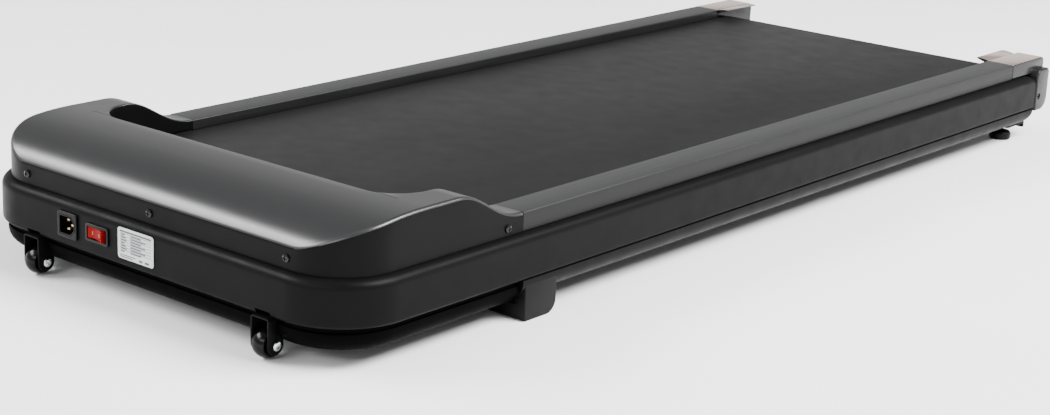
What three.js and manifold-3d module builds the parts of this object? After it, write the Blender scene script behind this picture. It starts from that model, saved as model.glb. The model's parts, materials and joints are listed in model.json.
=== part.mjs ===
// A flat under-desk treadmill. Millimetres, +Z up, front (motor end) towards -Y, +X to the right.
// While it is being drawn, y = 0 is the front of the hood's skirt and z = 0 is the floor.
import * as THREE from "three";
import { mergeVertices } from "three/addons/utils/BufferGeometryUtils.js";
import Module from "manifold-3d";

const wasm = await Module();
wasm.setup();

// ---------------------------------------------------------------- driving dimensions

// Clearances
const GAP = 0.3; // between pieces that touch
const RUNNING_GAP = 1.0; // between a piece that turns and a piece that doesn't
const PAST = 1; // how far cutting shapes run past what they cut, and joined ones overlap

// Frame tube: a tall hollow section bent round the front corners
const BODY_WIDTH = 509;
const FRAME_LENGTH = 1258.5;
const FRAME_PROUD = 9.5; // how far the tube stands out past the hood's skirt
const FRAME_CLEARANCE = 22; // floor to underside
const FRAME_HEIGHT = 63;
const FRAME_DEPTH = 25; // width of the section
const FRAME_WALL = 2.5;
const FRAME_CORNER = 72;
const FRAME_TOP_ROUND = 9;
const FRAME_BOTTOM_ROUND = 17;
const FRAME_EDGE_ROUND = 4;
const FRAME_END_TOP_ROUND = 18;
const FRAME_END_BOTTOM_ROUND = 22;
const BAY_LENGTH = 237.5; // motor bay, from the front of the tube
const BAY_RISE = 19; // how far the tube's underside is raised over the motor bay

// Side rails
const RAIL_RISE = 19; // rail top above frame top
const RAIL_WIDTH = 36;
const RAIL_WALL = 2.5;
const RAIL_EDGE_ROUND = 1.5;
const RAIL_END_GAP = 1.3; // rail to end cap

// Hood
const HOOD_RISE = 31; // hood top above rail top
const HOOD_CORNER = 62;
const HOOD_WALL = 2.5;
const HOOD_LIP = 20.2; // height of the skirt at the front
const HOOD_NOSE = 105; // length of the curved front part of the top
const NOSE_CURVE = { run: 8, rise: 16.4, crown: 40 }; // handles of that curve, from the front crease
const HOOD_OVERHANG = 9; // rear edge of the top, between the ears, ahead of the front roller's axis
const HOOD_BACK_SLOPE = 25; // how far the rear wall leans back on its way down
const HOOD_BELT_GAP = 4; // rear wall to belt
const EAR_LENGTH = 132; // rear edge of the top to the ear's end
const EAR_SLOPE = 89; // length of the falling end of each ear
const EAR_CURVE = { upper: 32, lower: 50 }; // handles of the fall, from where it starts

// Walking belt, rollers and deck
const BELT_DROP = 9.9; // belt surface below rail top
const BELT_SIDE_GAP = 4; // belt edge to side rail
const BELT_THICKNESS = 1.6;
const ROLLER_RADIUS = 21;
const ROLLER_WALL = 3.2;
const REAR_AXLE_INSET = 34; // rear roller's axis ahead of the tube's end
const AXLE_RADIUS = 7.5;
const AXLE_INTO_FRAME = 10; // how far each axle end reaches past the tube's inner face
const REAR_SLOT_TRAVEL = 16; // room for belt tension
const BEARING_WIDTH = 11;
const DECK_THICKNESS = 14;
const DECK_END_GAP = 14; // deck end to the belt where it turns
const DECK_SIDE_GAP = 3.5;
const CROSS_MEMBER_WIDTH = 30;
const CROSS_MEMBER_CLEARANCE = 3.1; // above the belt's lower run
const CROSS_MEMBER_WALL = 2;
const CROSS_MEMBER_ROUND = 2.5;
const CUSHION_THICKNESS = 4.6;
const CUSHION_SPACING = 340;
const CUSHION_RADIUS = 13;

// Drive
const ROLLER_PULLEY_RADIUS = 27;
const MOTOR_PULLEY_RADIUS = 9;
const PULLEY_WIDTH = 10;
const PULLEY_RIB = { count: 4, depth: 0.8 };
const MOTOR_HUB = { wall: 2, length: 4 };
const PULLEY_OFFSET = 4.5; // roller end to pulley
const DRIVE_BELT_THICKNESS = 2.4;
const DRIVE_BELT_WIDTH = 9;
const MOTOR_RADIUS = 31;
const MOTOR_LENGTH = 132;
const MOTOR_SHAFT_RADIUS = 5;
const MOTOR_SHAFT_BURIED = 79; // length of the shaft inside the motor
const MOTOR_BELL = { length: 16, step: 2, chamfer: 6 };
const MOTOR_FOOT = { inset: 36, length: 16, spread: 0.8, rise: 0.6 }; // the last two times the radius
const MOTOR_FRONT_GAP = 4.2; // mounting flange to motor
const MOTOR_ROLLER_GAP = 4.1; // motor to walking belt
const MOTOR_PULLEY_GAP = 18; // motor's end to the pulleys
const MOUNT_PLATE = 3;
const CONTROLLER = { width: 150, depth: 54, height: 36, fins: 6, finHeight: 10 };
const CONTROLLER_GAP = 4; // behind the inlet
const LEAD = { radius: 3, height: 16, stub: 15, sag: 8, rise: 12 };

// Front panel
const INLET_X = -104.9;
const INLET_DROP = 22.3; // centre below the tube's top
const INLET_FLANGE = { width: 27.7, height: 25.4, thickness: 2, corner: 2 };
const INLET_BODY = { width: 24.6, height: 22, depth: 27 };
const INLET_SOCKET = { width: 20.6, height: 17, depth: 15, cut: 5, corner: 1.5 };
const PIN = { width: 4, thickness: 2, length: 28, recess: 3.5, spacing: 9, stagger: 4 };
const SWITCH_X = -62.2;
const SWITCH_DROP = 21.9;
const SWITCH_BEZEL = { width: 32.5, height: 17.5, thickness: 1.5, corner: 2 };
const SWITCH_BODY = { width: 29.4, height: 14.2, depth: 22 };
const ROCKER = {
  width: 24.4, height: 11.2,
  proud: 8, dish: 2.4, tilt: 9,
  pivot: 5.5, skirt: 1, belly: 3.5,
};
const ROCKER_GAP = 0.8;
const PLATE = { x: -7.7, drop: 21.4, width: 49.5, height: 29.6, thickness: 0.6, corner: 3 };

// Screws
const SCREW_SHANK = 2;
const SCREW_HEAD = 3.9;
const SCREW_HEAD_HEIGHT = 1.9;
const SCREW_HEAD_RIM = 0.8; // upright edge of the head
const SCREW_LENGTH = 9;
const SCREW_CLEARANCE = 0.5;
const HOOD_SCREW_INSET = 5; // outer front screws inside the ends of the skirt's flat front
const HOOD_SCREW_RISE = 10.2; // front screws above the skirt's lower edge
const EAR_SCREW_INSET = 21.5; // ahead of the ear's end
const EAR_SCREW_RISE = 7.2;
const TAB_THICKNESS = 2.5;
const TAB_WIDTH = 16;

// Belly pan
const PAN_INSET = 2;
const PAN_RIM_INSET = 2.5;
const PAN_RIM_HEIGHT = 5;
const PAN_WALL = 2.5;
const PAN_BOTTOM = 17.5;
const PAN_ROUND = 7;
const VENT = { length: 70, width: 4, pitch: 10, count: 5, y: 110 };

// Transport wheels
const WHEEL_INSET = 23.9; // wheel inside the end of the tube's flat front
const WHEEL_RADIUS = 13.5;
const WHEEL_LIFT = 1; // wheels clear the floor until the far end is raised
const WHEEL_HALF_WIDTH = 7.5;
const WHEEL_CROWN = 2;
const WHEEL_SETBACK = 6; // axle behind the tube's front face
const FORK_HALF_WIDTH = 11.4;
const FORK_SHEET = 2;
const FORK_ROUND = 9;
const WHEEL_BOLT_RADIUS = 3;
const BOLT_HEAD_RADIUS = 4.4;
const BOLT_HEAD_HEIGHT = 2.4;
const BOLT_CHAMFER = 0.8;
const BOLT_END = 1.5; // how far the bolt's end shows past the far cheek

// Feet
const BLOCK = { width: 50, length: 46, inset: 0.5, setback: 4, round: 12, toe: 3 };
const FOOT_INSET = 7.5; // foot's centre inside the tube's inner face
const FOOT_SETBACK = 21; // foot's centre ahead of the tube's end
const FOOT_RADIUS = 13.5;
const FOOT_HEIGHT = 11;
const FOOT_EDGE = 1.2; // chamfer at the floor
const FOOT_SHOULDER = 5;
const STUD_RADIUS = 4;
const STUD_LENGTH = 28;
const BRACKET = { sheet: 4, width: 36, length: 46, flange: 9, weld: 0.5, setback: 6 };

// End caps
const CAP_LENGTH = 85.5;
const CAP_OVERHANG = 35.1; // cap's rear face past the tube's end
const CAP_WALL = 2.5;
const CAP_BACK = 14; // thickness of the rear wall
const CAP_GAP = 4; // tube end to the cap behind it
const CAP_CLEARANCE = 37; // floor to underside
const CAP_ROUND = 16;
const CAP_EDGE_ROUND = 4;
const CAP_LAP = 6; // how far the wide rear part reaches up past the tube's top
const LIP_REACH = 18;
const LIP_THICKNESS = 2.5;
const LIP_DROP = 1.5; // below the rail's top
const LIP_ROUND = 1.2;
const TENSION_BOLT = { inset: 10, radius: 4, headRadius: 6.5, headHeight: 8, length: 76 };
const CAP_SCREW_RISE = 19; // above the cap's underside
const CAP_SCREW_SETBACK = 7;
const CAP_SCREW_SUNK = 2.6; // depth of the recess for the screw's head

// ---------------------------------------------------------------- places that follow from them

const halfWidth = BODY_WIDTH / 2;
const frameFront = -FRAME_PROUD;
const frameRear = frameFront + FRAME_LENGTH;
const frameBottom = FRAME_CLEARANCE;
const frameTop = frameBottom + FRAME_HEIGHT;
const frameInner = halfWidth - FRAME_DEPTH;
const frameInnerFront = frameFront + FRAME_DEPTH;
const frameBottomRound = Math.min(FRAME_BOTTOM_ROUND, FRAME_DEPTH - 2 * FRAME_EDGE_ROUND);
const cornerX = halfWidth - FRAME_CORNER; // centre of the tube's front bend
const cornerY = frameFront + FRAME_CORNER;
const bayEnd = frameFront + BAY_LENGTH;
const bayTop = frameBottom + BAY_RISE;

const hoodHalf = halfWidth - FRAME_PROUD;
const skirtBottom = frameTop + GAP;
const railTop = frameTop + RAIL_RISE;
const railInner = hoodHalf - RAIL_WIDTH;
const hoodTop = railTop + HOOD_RISE;
const lipTop = skirtBottom + HOOD_LIP;

const beltTop = railTop - BELT_DROP;
const beltRadius = ROLLER_RADIUS + GAP;
const rollerZ = beltTop - BELT_THICKNESS - beltRadius;

const wheelY = frameFront + WHEEL_SETBACK;
const pocketRear = wheelY + WHEEL_RADIUS + 2 * RUNNING_GAP; // recess for a wheel in the belly pan
const mountFront = Math.max(frameInnerFront, pocketRear + PAN_WALL) + GAP;

// The motor stands behind its flange, with its belt clear of the inside of the tube's bend.
const rollerHalf = railInner - RUNNING_GAP;
const pulleyX = rollerHalf + PULLEY_OFFSET;
const bendInner = FRAME_CORNER - FRAME_DEPTH;
const pulleyPastCorner = pulleyX + PULLEY_WIDTH - cornerX;
const bendAtPulley = cornerY - Math.sqrt(Math.max(0, bendInner ** 2 - pulleyPastCorner ** 2));
const motorY = Math.max(
  mountFront + MOUNT_PLATE + MOTOR_FRONT_GAP + MOTOR_RADIUS,
  bendAtPulley + RUNNING_GAP + DRIVE_BELT_THICKNESS + GAP + MOTOR_PULLEY_RADIUS,
);
const frontRollerY = motorY + MOTOR_RADIUS + MOTOR_ROLLER_GAP + BELT_THICKNESS + beltRadius;
const rearRollerY = frameRear - REAR_AXLE_INSET;
const beltHalf = railInner - BELT_SIDE_GAP;
const deckTop = beltTop - BELT_THICKNESS - GAP;
const deckBottom = deckTop - DECK_THICKNESS;
const deckFront = frontRollerY + beltRadius + DECK_END_GAP;
const deckRear = rearRollerY - beltRadius - DECK_END_GAP + GAP;
const crossMemberTop = deckBottom - CUSHION_THICKNESS - 2 * GAP;
const crossMemberBottom = rollerZ - beltRadius + CROSS_MEMBER_CLEARANCE;
const crossMembers = {
  front: deckFront + 2 * CROSS_MEMBER_WIDTH,
  middle: (deckFront + deckRear) / 2,
  rear: deckRear - 2 * CROSS_MEMBER_WIDTH,
};

const hoodBack = frontRollerY - HOOD_OVERHANG;
const earEnd = hoodBack + EAR_LENGTH;
const hoodScrewX = hoodHalf - HOOD_CORNER - HOOD_SCREW_INSET;
const hoodScrewZ = skirtBottom + HOOD_SCREW_RISE;
const earScrewY = earEnd - EAR_SCREW_INSET;
const earScrewZ = skirtBottom + EAR_SCREW_RISE;

const bayFloor = PAN_BOTTOM + PAN_WALL + GAP; // what stands on the belly pan starts here
const motorBottom = bayFloor + MOUNT_PLATE + GAP;
const motorZ = motorBottom + MOTOR_RADIUS;
const motorEnd = pulleyX - MOTOR_PULLEY_GAP;
const motorStart = motorEnd - MOTOR_LENGTH;

const inletZ = frameTop - INLET_DROP;
const switchZ = frameTop - SWITCH_DROP;
const plateZ = frameTop - PLATE.drop;

const wheelX = cornerX - WHEEL_INSET;
const wheelZ = WHEEL_RADIUS + WHEEL_LIFT;
const footX = frameInner - FOOT_INSET;
const footY = frameRear - FOOT_SETBACK;
const capRear = frameRear + CAP_OVERHANG;
const capFront = capRear - CAP_LENGTH;
const tensionX = railInner + TENSION_BOLT.inset;
const capScrewY = frameRear + CAP_GAP + CAP_SCREW_SETBACK;
const capScrewZ = CAP_CLEARANCE + CAP_SCREW_RISE;

// ---------------------------------------------------------------- shapes and solids

// An outline through corners [x, y, radius]; a corner with no radius stays sharp.
function outline(corners, into = new THREE.Shape()) {
  corners.forEach(([x, y, radius = 0], i) => {
    const corner = new THREE.Vector2(x, y);
    if (radius === 0) {
      if (i === 0) into.moveTo(x, y);
      else into.lineTo(x, y);
      return;
    }
    const before = corners.at(i - 1);
    const after = corners[(i + 1) % corners.length];
    const toBefore = new THREE.Vector2(before[0], before[1]).sub(corner).normalize();
    const toAfter = new THREE.Vector2(after[0], after[1]).sub(corner).normalize();
    const half = Math.acos(toBefore.dot(toAfter)) / 2;
    const start = corner.clone().addScaledVector(toBefore, radius / Math.tan(half));
    const end = corner.clone().addScaledVector(toAfter, radius / Math.tan(half));
    const middle = toBefore.clone().add(toAfter).normalize();
    const centre = corner.clone().addScaledVector(middle, radius / Math.sin(half));
    const clockwise = toBefore.cross(toAfter) > 0;
    if (i === 0) into.moveTo(start.x, start.y);
    else into.lineTo(start.x, start.y);
    into.absarc(centre.x, centre.y, radius, start.sub(centre).angle(), end.sub(centre).angle(), clockwise);
  });
  into.closePath();
  return into;
}

function rectangle(x0, y0, x1, y1, radius = 0) {
  return outline([[x0, y0, radius], [x1, y0, radius], [x1, y1, radius], [x0, y1, radius]]);
}

// A closed geometry as a solid that can be joined and cut.
function solid(geometry) {
  const bare = geometry.index ? geometry.toNonIndexed() : geometry.clone();
  bare.deleteAttribute("normal");
  bare.deleteAttribute("uv");
  const merged = mergeVertices(bare, 1e-3);
  return new wasm.Manifold(new wasm.Mesh({
    numProp: 3,
    vertProperties: merged.attributes.position.array,
    triVerts: new Uint32Array(merged.index.array),
  }));
}

function box(x0, x1, y0, y1, z0, z1) {
  const geometry = new THREE.BoxGeometry(x1 - x0, y1 - y0, z1 - z0);
  return solid(geometry.translate((x0 + x1) / 2, (y0 + y1) / 2, (z0 + z1) / 2));
}

function extruded(shape, depth, basis, origin, fineness) {
  const options = { depth, bevelEnabled: false, curveSegments: fineness };
  const geometry = new THREE.ExtrudeGeometry(shape, options);
  geometry.applyMatrix4(new THREE.Matrix4().makeBasis(...basis).setPosition(...origin));
  return solid(geometry);
}

const X = new THREE.Vector3(1, 0, 0);
const Y = new THREE.Vector3(0, 1, 0);
const Z = new THREE.Vector3(0, 0, 1);

// A shape drawn in (x, y), from z0 up to z1.
const alongZ = (shape, z0, z1, fineness = 2) => extruded(shape, z1 - z0, [X, Y, Z], [0, 0, z0], fineness);

// A shape drawn in (y, z), from x0 to x1.
const alongX = (shape, x0, x1, fineness = 2) => extruded(shape, x1 - x0, [Y, Z, X], [x0, 0, 0], fineness);

// A shape drawn in (x, z), from y0 to y1.
const alongY = (shape, y0, y1, fineness = 2) =>
  extruded(shape, y1 - y0, [X, Z, Y.clone().negate()], [0, y1, 0], fineness);

// A profile of [radius, height] points turned about an axis through the origin.
function turned(profile, axis, segments = 24) {
  const points = profile.map(([radius, height]) => new THREE.Vector2(radius, height));
  const geometry = new THREE.LatheGeometry(points, segments);
  geometry.applyQuaternion(new THREE.Quaternion().setFromUnitVectors(Y, axis));
  return solid(geometry);
}

const rod = (radius, from, to, axis, segments = 20) =>
  turned([[0, from], [radius, from], [radius, to], [0, to]], axis, segments);

const ring = (inner, outer, from, to, axis, segments = 28) =>
  turned([[inner, from], [outer, from], [outer, to], [inner, to], [inner, from]], axis, segments);

// A path through stations, each with its own direction, for sweeping a section round the body.
class StationPath extends THREE.Curve {
  constructor(stations) {
    super();
    this.stations = stations;
  }
  at(t) {
    return this.stations[Math.round(t * (this.stations.length - 1))];
  }
  getPointAt(t) {
    return this.at(t).point.clone();
  }
  getTangentAt(t) {
    return this.at(t).direction.clone();
  }
}

// The U round the body's outer face: down the left side, round the front and up the right side.
function bodyPath(rear, segments = 10) {
  const station = (x, y, angle) => ({
    point: new THREE.Vector3(x, y, 0),
    direction: new THREE.Vector3(-Math.sin(angle), Math.cos(angle), 0),
  });
  const corner = (side, from) => Array.from({ length: segments + 1 }, (_, i) => {
    const angle = from + (i / segments) * (Math.PI / 2);
    const x = side * cornerX + FRAME_CORNER * Math.cos(angle);
    return station(x, cornerY + FRAME_CORNER * Math.sin(angle), angle);
  });
  return new StationPath([
    station(-halfWidth, rear, Math.PI),
    ...corner(-1, Math.PI),
    ...corner(1, 1.5 * Math.PI),
    station(halfWidth, rear, 2 * Math.PI),
  ]);
}

// A section of [distance inwards, height, radius] corners swept along that U.
function sweptRound(section, rear) {
  const path = bodyPath(rear);
  const shape = outline(section.map(([inwards, height, radius]) => [-height, inwards, radius]));
  const options = { steps: path.stations.length - 1, extrudePath: path, curveSegments: 2 };
  return solid(new THREE.ExtrudeGeometry(shape, options));
}

const united = (pieces) => pieces.reduce((whole, piece) => whole.add(piece));
const cutFrom = (whole, cuts) => cuts.reduce((rest, cut) => rest.subtract(cut), whole);

// ---------------------------------------------------------------- materials and nodes

const FINISHES = {
  framePaint: { color: 0x303032, roughness: 0.45, metalness: 0.2 },
  hoodPlastic: { color: 0x6e7074, roughness: 0.35, metalness: 0.1 },
  panPlastic: { color: 0x29292b, roughness: 0.6, metalness: 0 },
  railPlastic: { color: 0x66676a, roughness: 0.5, metalness: 0.1 },
  capPlastic: { color: 0x77716f, roughness: 0.25, metalness: 0.1 },
  beltFabric: { color: 0x2c2c2e, roughness: 0.8, metalness: 0 },
  rubber: { color: 0x1b1b1c, roughness: 0.7, metalness: 0 },
  blackPlastic: { color: 0x111112, roughness: 0.35, metalness: 0 },
  steel: { color: 0x9a9c9f, roughness: 0.4, metalness: 1 },
  chrome: { color: 0xd8dade, roughness: 0.12, metalness: 1 },
  brass: { color: 0xc9a75a, roughness: 0.3, metalness: 1 },
  redPlastic: { color: 0xc3241c, roughness: 0.3, metalness: 0 },
  plateFoil: { color: 0xd9dadb, roughness: 0.4, metalness: 0.4 },
  wood: { color: 0x7a5a3a, roughness: 0.6, metalness: 0 },
  motorPaint: { color: 0x22242a, roughness: 0.4, metalness: 0.3 },
  castAluminium: { color: 0x8f9296, roughness: 0.5, metalness: 0.9 },
};

const treadmill = new THREE.Group();

function add(name, shape, finish, place = [0, 0, 0]) {
  const { vertProperties, triVerts } = shape.getMesh();
  const geometry = new THREE.BufferGeometry();
  geometry.setAttribute("position", new THREE.BufferAttribute(new Float32Array(vertProperties), 3));
  geometry.setIndex(new THREE.BufferAttribute(new Uint32Array(triVerts), 1));
  geometry.computeVertexNormals();
  const mesh = new THREE.Mesh(geometry, new THREE.MeshStandardMaterial(FINISHES[finish]));
  mesh.name = name;
  mesh.position.set(...place);
  treadmill.add(mesh);
}

const SIDES = { left: -1, right: 1 };

// ---------------------------------------------------------------- frame

function screwHole(radius = SCREW_SHANK + SCREW_CLEARANCE) {
  return rod(radius, -SCREW_LENGTH, SCREW_LENGTH, X, 12);
}

// An upright tab with a hole, just inside the hood's skirt, that takes one hood screw.
// Its face looks along -X.
function screwTab(height) {
  const face = HOOD_WALL + GAP;
  const tab = box(
    face, face + TAB_THICKNESS,
    -TAB_WIDTH / 2, TAB_WIDTH / 2,
    frameTop - PAST, height + TAB_WIDTH / 2,
  );
  return tab.subtract(screwHole().translate(0, 0, height));
}

// The bent plate under the rear end of each leg of the tube, which a levelling foot screws into.
function footBracket() {
  const { sheet, width, length, flange, weld, setback } = BRACKET;
  const top = frameBottom + weld;
  const y0 = footY - length / 2 + setback;
  const x0 = footX - width / 2;
  const plate = box(x0, x0 + width, y0, y0 + length, top - sheet, top);
  const lip = box(x0, x0 + width, y0 + length - sheet, y0 + length, top - flange, top);
  const hole = rod(STUD_RADIUS + GAP, 0, frameTop, Z, 16).translate(footX, footY, 0);
  return plate.add(lip).subtract(hole);
}

function frameTube() {
  const section = (inset, floor, clear) => [
    [inset, frameTop - inset, FRAME_TOP_ROUND - inset],
    [FRAME_DEPTH - inset, frameTop - inset, FRAME_EDGE_ROUND - inset],
    [FRAME_DEPTH - inset, floor + inset, FRAME_EDGE_ROUND - inset],
    [inset, floor + inset, frameBottomRound - inset],
  ];
  const side = alongX(outline([
    [frameFront - PAST, frameBottom],
    [frameRear, frameBottom, FRAME_END_BOTTOM_ROUND],
    [frameRear, frameTop, FRAME_END_TOP_ROUND],
    [frameFront - PAST, frameTop],
  ]), -halfWidth - PAST, halfWidth + PAST);
  const overBay = (end, top) => box(-BODY_WIDTH, BODY_WIDTH, frameFront - PAST, end, 0, top);
  const skin = sweptRound(section(0, frameBottom), frameRear)
    .intersect(side)
    .subtract(overBay(bayEnd, bayTop));
  const hollow = sweptRound(section(FRAME_WALL, frameBottom), frameRear + PAST)
    .subtract(overBay(bayEnd + FRAME_WALL, bayTop + FRAME_WALL));
  const panelHole = (x, z, width, height) => box(
    x - width / 2 - GAP, x + width / 2 + GAP,
    frameFront - PAST, frameInnerFront + PAST,
    z - height / 2 - GAP, z + height / 2 + GAP,
  );
  const axleHole = (side, y, travel) => {
    const reach = AXLE_INTO_FRAME + GAP;
    const hole = outline([
      [y - travel / 2 - AXLE_RADIUS - GAP, rollerZ - AXLE_RADIUS - GAP, AXLE_RADIUS],
      [y + travel / 2 + AXLE_RADIUS + GAP, rollerZ - AXLE_RADIUS - GAP, AXLE_RADIUS],
      [y + travel / 2 + AXLE_RADIUS + GAP, rollerZ + AXLE_RADIUS + GAP, AXLE_RADIUS],
      [y - travel / 2 - AXLE_RADIUS - GAP, rollerZ + AXLE_RADIUS + GAP, AXLE_RADIUS],
    ]);
    const from = frameInner - PAST;
    return side > 0 ? alongX(hole, from, from + reach) : alongX(hole, -from - reach, -from);
  };
  const cuts = [
    panelHole(INLET_X, inletZ, INLET_BODY.width, INLET_BODY.height),
    panelHole(SWITCH_X, switchZ, SWITCH_BODY.width, SWITCH_BODY.height),
  ];
  for (const side of Object.values(SIDES)) {
    cuts.push(axleHole(side, frontRollerY, 0), axleHole(side, rearRollerY, REAR_SLOT_TRAVEL));
    cuts.push(box(
      side * wheelX - FORK_HALF_WIDTH + FORK_SHEET, side * wheelX + FORK_HALF_WIDTH - FORK_SHEET,
      frameFront - PAST, frameFront + FRAME_WALL + PAST,
      bayTop - PAST, bayTop + FRAME_WALL + 2 * PAST,
    ));
  }
  const frontTab = screwTab(hoodScrewZ).rotate([0, 0, 90]);
  const earTab = screwTab(earScrewZ);
  const tabs = [
    ...[-1, 0, 1].map((step) => frontTab.translate(step * hoodScrewX, 0, 0)),
    earTab.translate(-hoodHalf, earScrewY, 0),
    earTab.rotate([0, 0, 180]).translate(hoodHalf, earScrewY, 0),
  ];
  const brackets = [footBracket(), footBracket().mirror([1, 0, 0])];
  return united([cutFrom(skin, [hollow, ...cuts]), ...tabs, ...brackets]);
}

add("frame_tube", frameTube(), "framePaint");

function crossMember(y) {
  const bottom = crossMemberBottom;
  const reach = frameInner - GAP;
  const half = CROSS_MEMBER_WIDTH / 2;
  const outer = rectangle(y - half, bottom, y + half, crossMemberTop, CROSS_MEMBER_ROUND);
  const wall = CROSS_MEMBER_WALL;
  const bore = box(
    -reach - PAST, reach + PAST,
    y - half + wall, y + half - wall,
    bottom + wall, crossMemberTop - wall,
  );
  return alongX(outer, -reach, reach, 1).subtract(bore);
}

for (const [place, y] of Object.entries(crossMembers)) {
  add(place + "_cross_member", crossMember(y), "framePaint");
}

// ---------------------------------------------------------------- hood

// Side view of the hood in (y, z), shrunk by inset all round except at the bottom.
function hoodSide(inset) {
  const shape = new THREE.Shape();
  const front = inset;
  const top = hoodTop - inset;
  const rear = earEnd - inset;
  const earStart = earEnd - EAR_SLOPE;
  shape.moveTo(front, skirtBottom - inset);
  shape.lineTo(front, lipTop - inset / 2);
  shape.bezierCurveTo(
    front + NOSE_CURVE.run, lipTop + NOSE_CURVE.rise - inset,
    front + NOSE_CURVE.crown, top,
    front + HOOD_NOSE, top,
  );
  shape.lineTo(earStart - inset / 2, top);
  shape.bezierCurveTo(
    earStart + EAR_CURVE.upper - inset / 2, top,
    earStart + EAR_CURVE.lower - inset / 2, railTop - inset,
    rear, railTop - inset,
  );
  shape.lineTo(rear, skirtBottom - inset);
  shape.closePath();
  return shape;
}

// Everything behind the hood's leaning rear wall, between the ears.
function behindHood(inset) {
  const bottom = beltTop + HOOD_BELT_GAP;
  const wedge = new THREE.Shape();
  wedge.moveTo(hoodBack - inset, hoodTop + PAST);
  wedge.lineTo(hoodBack - inset, hoodTop);
  wedge.lineTo(hoodBack + HOOD_BACK_SLOPE - inset, bottom);
  wedge.lineTo(hoodBack + HOOD_BACK_SLOPE - inset, skirtBottom - 2 * PAST);
  wedge.lineTo(earEnd + PAST, skirtBottom - 2 * PAST);
  wedge.lineTo(earEnd + PAST, hoodTop + PAST);
  return alongX(wedge, -railInner - inset, railInner + inset);
}

function motorHood() {
  const plan = (inset) => alongZ(outline([
    [-hoodHalf + inset, inset, HOOD_CORNER - inset],
    [hoodHalf - inset, inset, HOOD_CORNER - inset],
    [hoodHalf - inset, earEnd - inset],
    [-hoodHalf + inset, earEnd - inset],
  ]), skirtBottom - inset, hoodTop + PAST, 6);
  const body = (inset) => alongX(hoodSide(inset), -hoodHalf, hoodHalf, 8).intersect(plan(inset));
  const outside = body(0).subtract(behindHood(0));
  const inside = body(HOOD_WALL).subtract(behindHood(HOOD_WALL));
  const overDeck = box(
    -frameInner, frameInner,
    hoodBack, earEnd + PAST,
    skirtBottom - HOOD_WALL, deckTop + 2 * GAP,
  );
  const underBack = box(
    -railInner, railInner,
    hoodBack, earEnd,
    skirtBottom - PAST, beltTop + HOOD_BELT_GAP,
  );
  const hole = screwHole();
  const frontHole = hole.rotate([0, 0, 90]);
  const holes = [
    ...[-1, 0, 1].map((step) => frontHole.translate(step * hoodScrewX, 0, hoodScrewZ)),
    hole.translate(-hoodHalf, earScrewY, earScrewZ),
    hole.translate(hoodHalf, earScrewY, earScrewZ),
  ];
  return cutFrom(outside, [inside, overDeck, underBack, ...holes]);
}

add("motor_hood", motorHood(), "hoodPlastic");

// A pan-head screw along -X, its head outside x = 0.
function screw() {
  return turned([
    [0, -SCREW_LENGTH],
    [SCREW_SHANK, -SCREW_LENGTH],
    [SCREW_SHANK, GAP],
    [SCREW_HEAD, GAP],
    [SCREW_HEAD, GAP + SCREW_HEAD_RIM],
    [SCREW_HEAD * 0.6, GAP + SCREW_HEAD_HEIGHT * 0.9],
    [0, GAP + SCREW_HEAD_HEIGHT],
  ], X, 16);
}

const facing = { front: [0, 0, -90], left: [0, 0, 180], right: [0, 0, 0] };
[["left", -1], ["middle", 0], ["right", 1]].forEach(([place, step]) => add(
  "hood_screw_front_" + place,
  screw().rotate(facing.front),
  "chrome",
  [step * hoodScrewX, 0, hoodScrewZ],
));
for (const [side, sign] of Object.entries(SIDES)) {
  const place = [sign * hoodHalf, earScrewY, earScrewZ];
  add("hood_screw_" + side, screw().rotate(facing[side]), "chrome", place);
}

// ---------------------------------------------------------------- belly pan

function bellyPan() {
  const rim = bayTop - GAP;
  const ledge = rim - PAN_RIM_HEIGHT;
  const rear = bayEnd - GAP;
  const plan = (inset, rearInset) => outline([
    [-halfWidth + inset, frameFront + inset, FRAME_CORNER - inset],
    [halfWidth - inset, frameFront + inset, FRAME_CORNER - inset],
    [halfWidth - inset, rear - rearInset, PAN_ROUND],
    [-halfWidth + inset, rear - rearInset, PAN_ROUND],
  ]);
  const wallDepth = PAN_INSET + 3 * PAN_ROUND;
  const lower = sweptRound([
    [PAN_INSET, ledge],
    [wallDepth, ledge],
    [wallDepth, PAN_BOTTOM],
    [PAN_INSET, PAN_BOTTOM, PAN_ROUND],
  ], rear).add(alongZ(plan(wallDepth - PAST, 0), PAN_BOTTOM, ledge, 4));
  const rimInset = PAN_INSET + PAN_RIM_INSET;
  const upper = alongZ(plan(rimInset, PAN_RIM_INSET), ledge, rim, 4);
  const floor = PAN_BOTTOM + PAN_WALL;
  const lowerHollow = alongZ(plan(PAN_INSET + PAN_WALL, PAN_WALL), floor, ledge - PAN_WALL, 4);
  const upperPlan = plan(rimInset + PAN_WALL, PAN_RIM_INSET + PAN_WALL);
  const upperHollow = alongZ(upperPlan, floor, rim + PAST, 4);
  const pocketBox = (sign, extra) => box(
    sign * wheelX - FORK_HALF_WIDTH - BOLT_HEAD_HEIGHT - RUNNING_GAP - extra,
    sign * wheelX + FORK_HALF_WIDTH + BOLT_HEAD_HEIGHT + RUNNING_GAP + extra,
    frameFront - PAST,
    pocketRear + extra,
    0,
    bayTop + PAST,
  );
  const whole = united([lower, upper]);
  const shell = cutFrom(whole, [lowerHollow, upperHollow]);
  const pocketWalls = Object.values(SIDES).map((sign) => pocketBox(sign, PAN_WALL).intersect(whole));
  const pockets = Object.values(SIDES).map((sign) => pocketBox(sign, 0));
  const vents = Array.from({ length: VENT.count }, (_, i) => {
    const y = VENT.y + i * VENT.pitch;
    return box(-VENT.length / 2, VENT.length / 2, y, y + VENT.width, 0, floor + PAST);
  });
  return cutFrom(united([shell, ...pocketWalls]), [...pockets, ...vents]);
}

add("belly_pan", bellyPan(), "panPlastic");

// ---------------------------------------------------------------- rails, deck and belt

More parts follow.
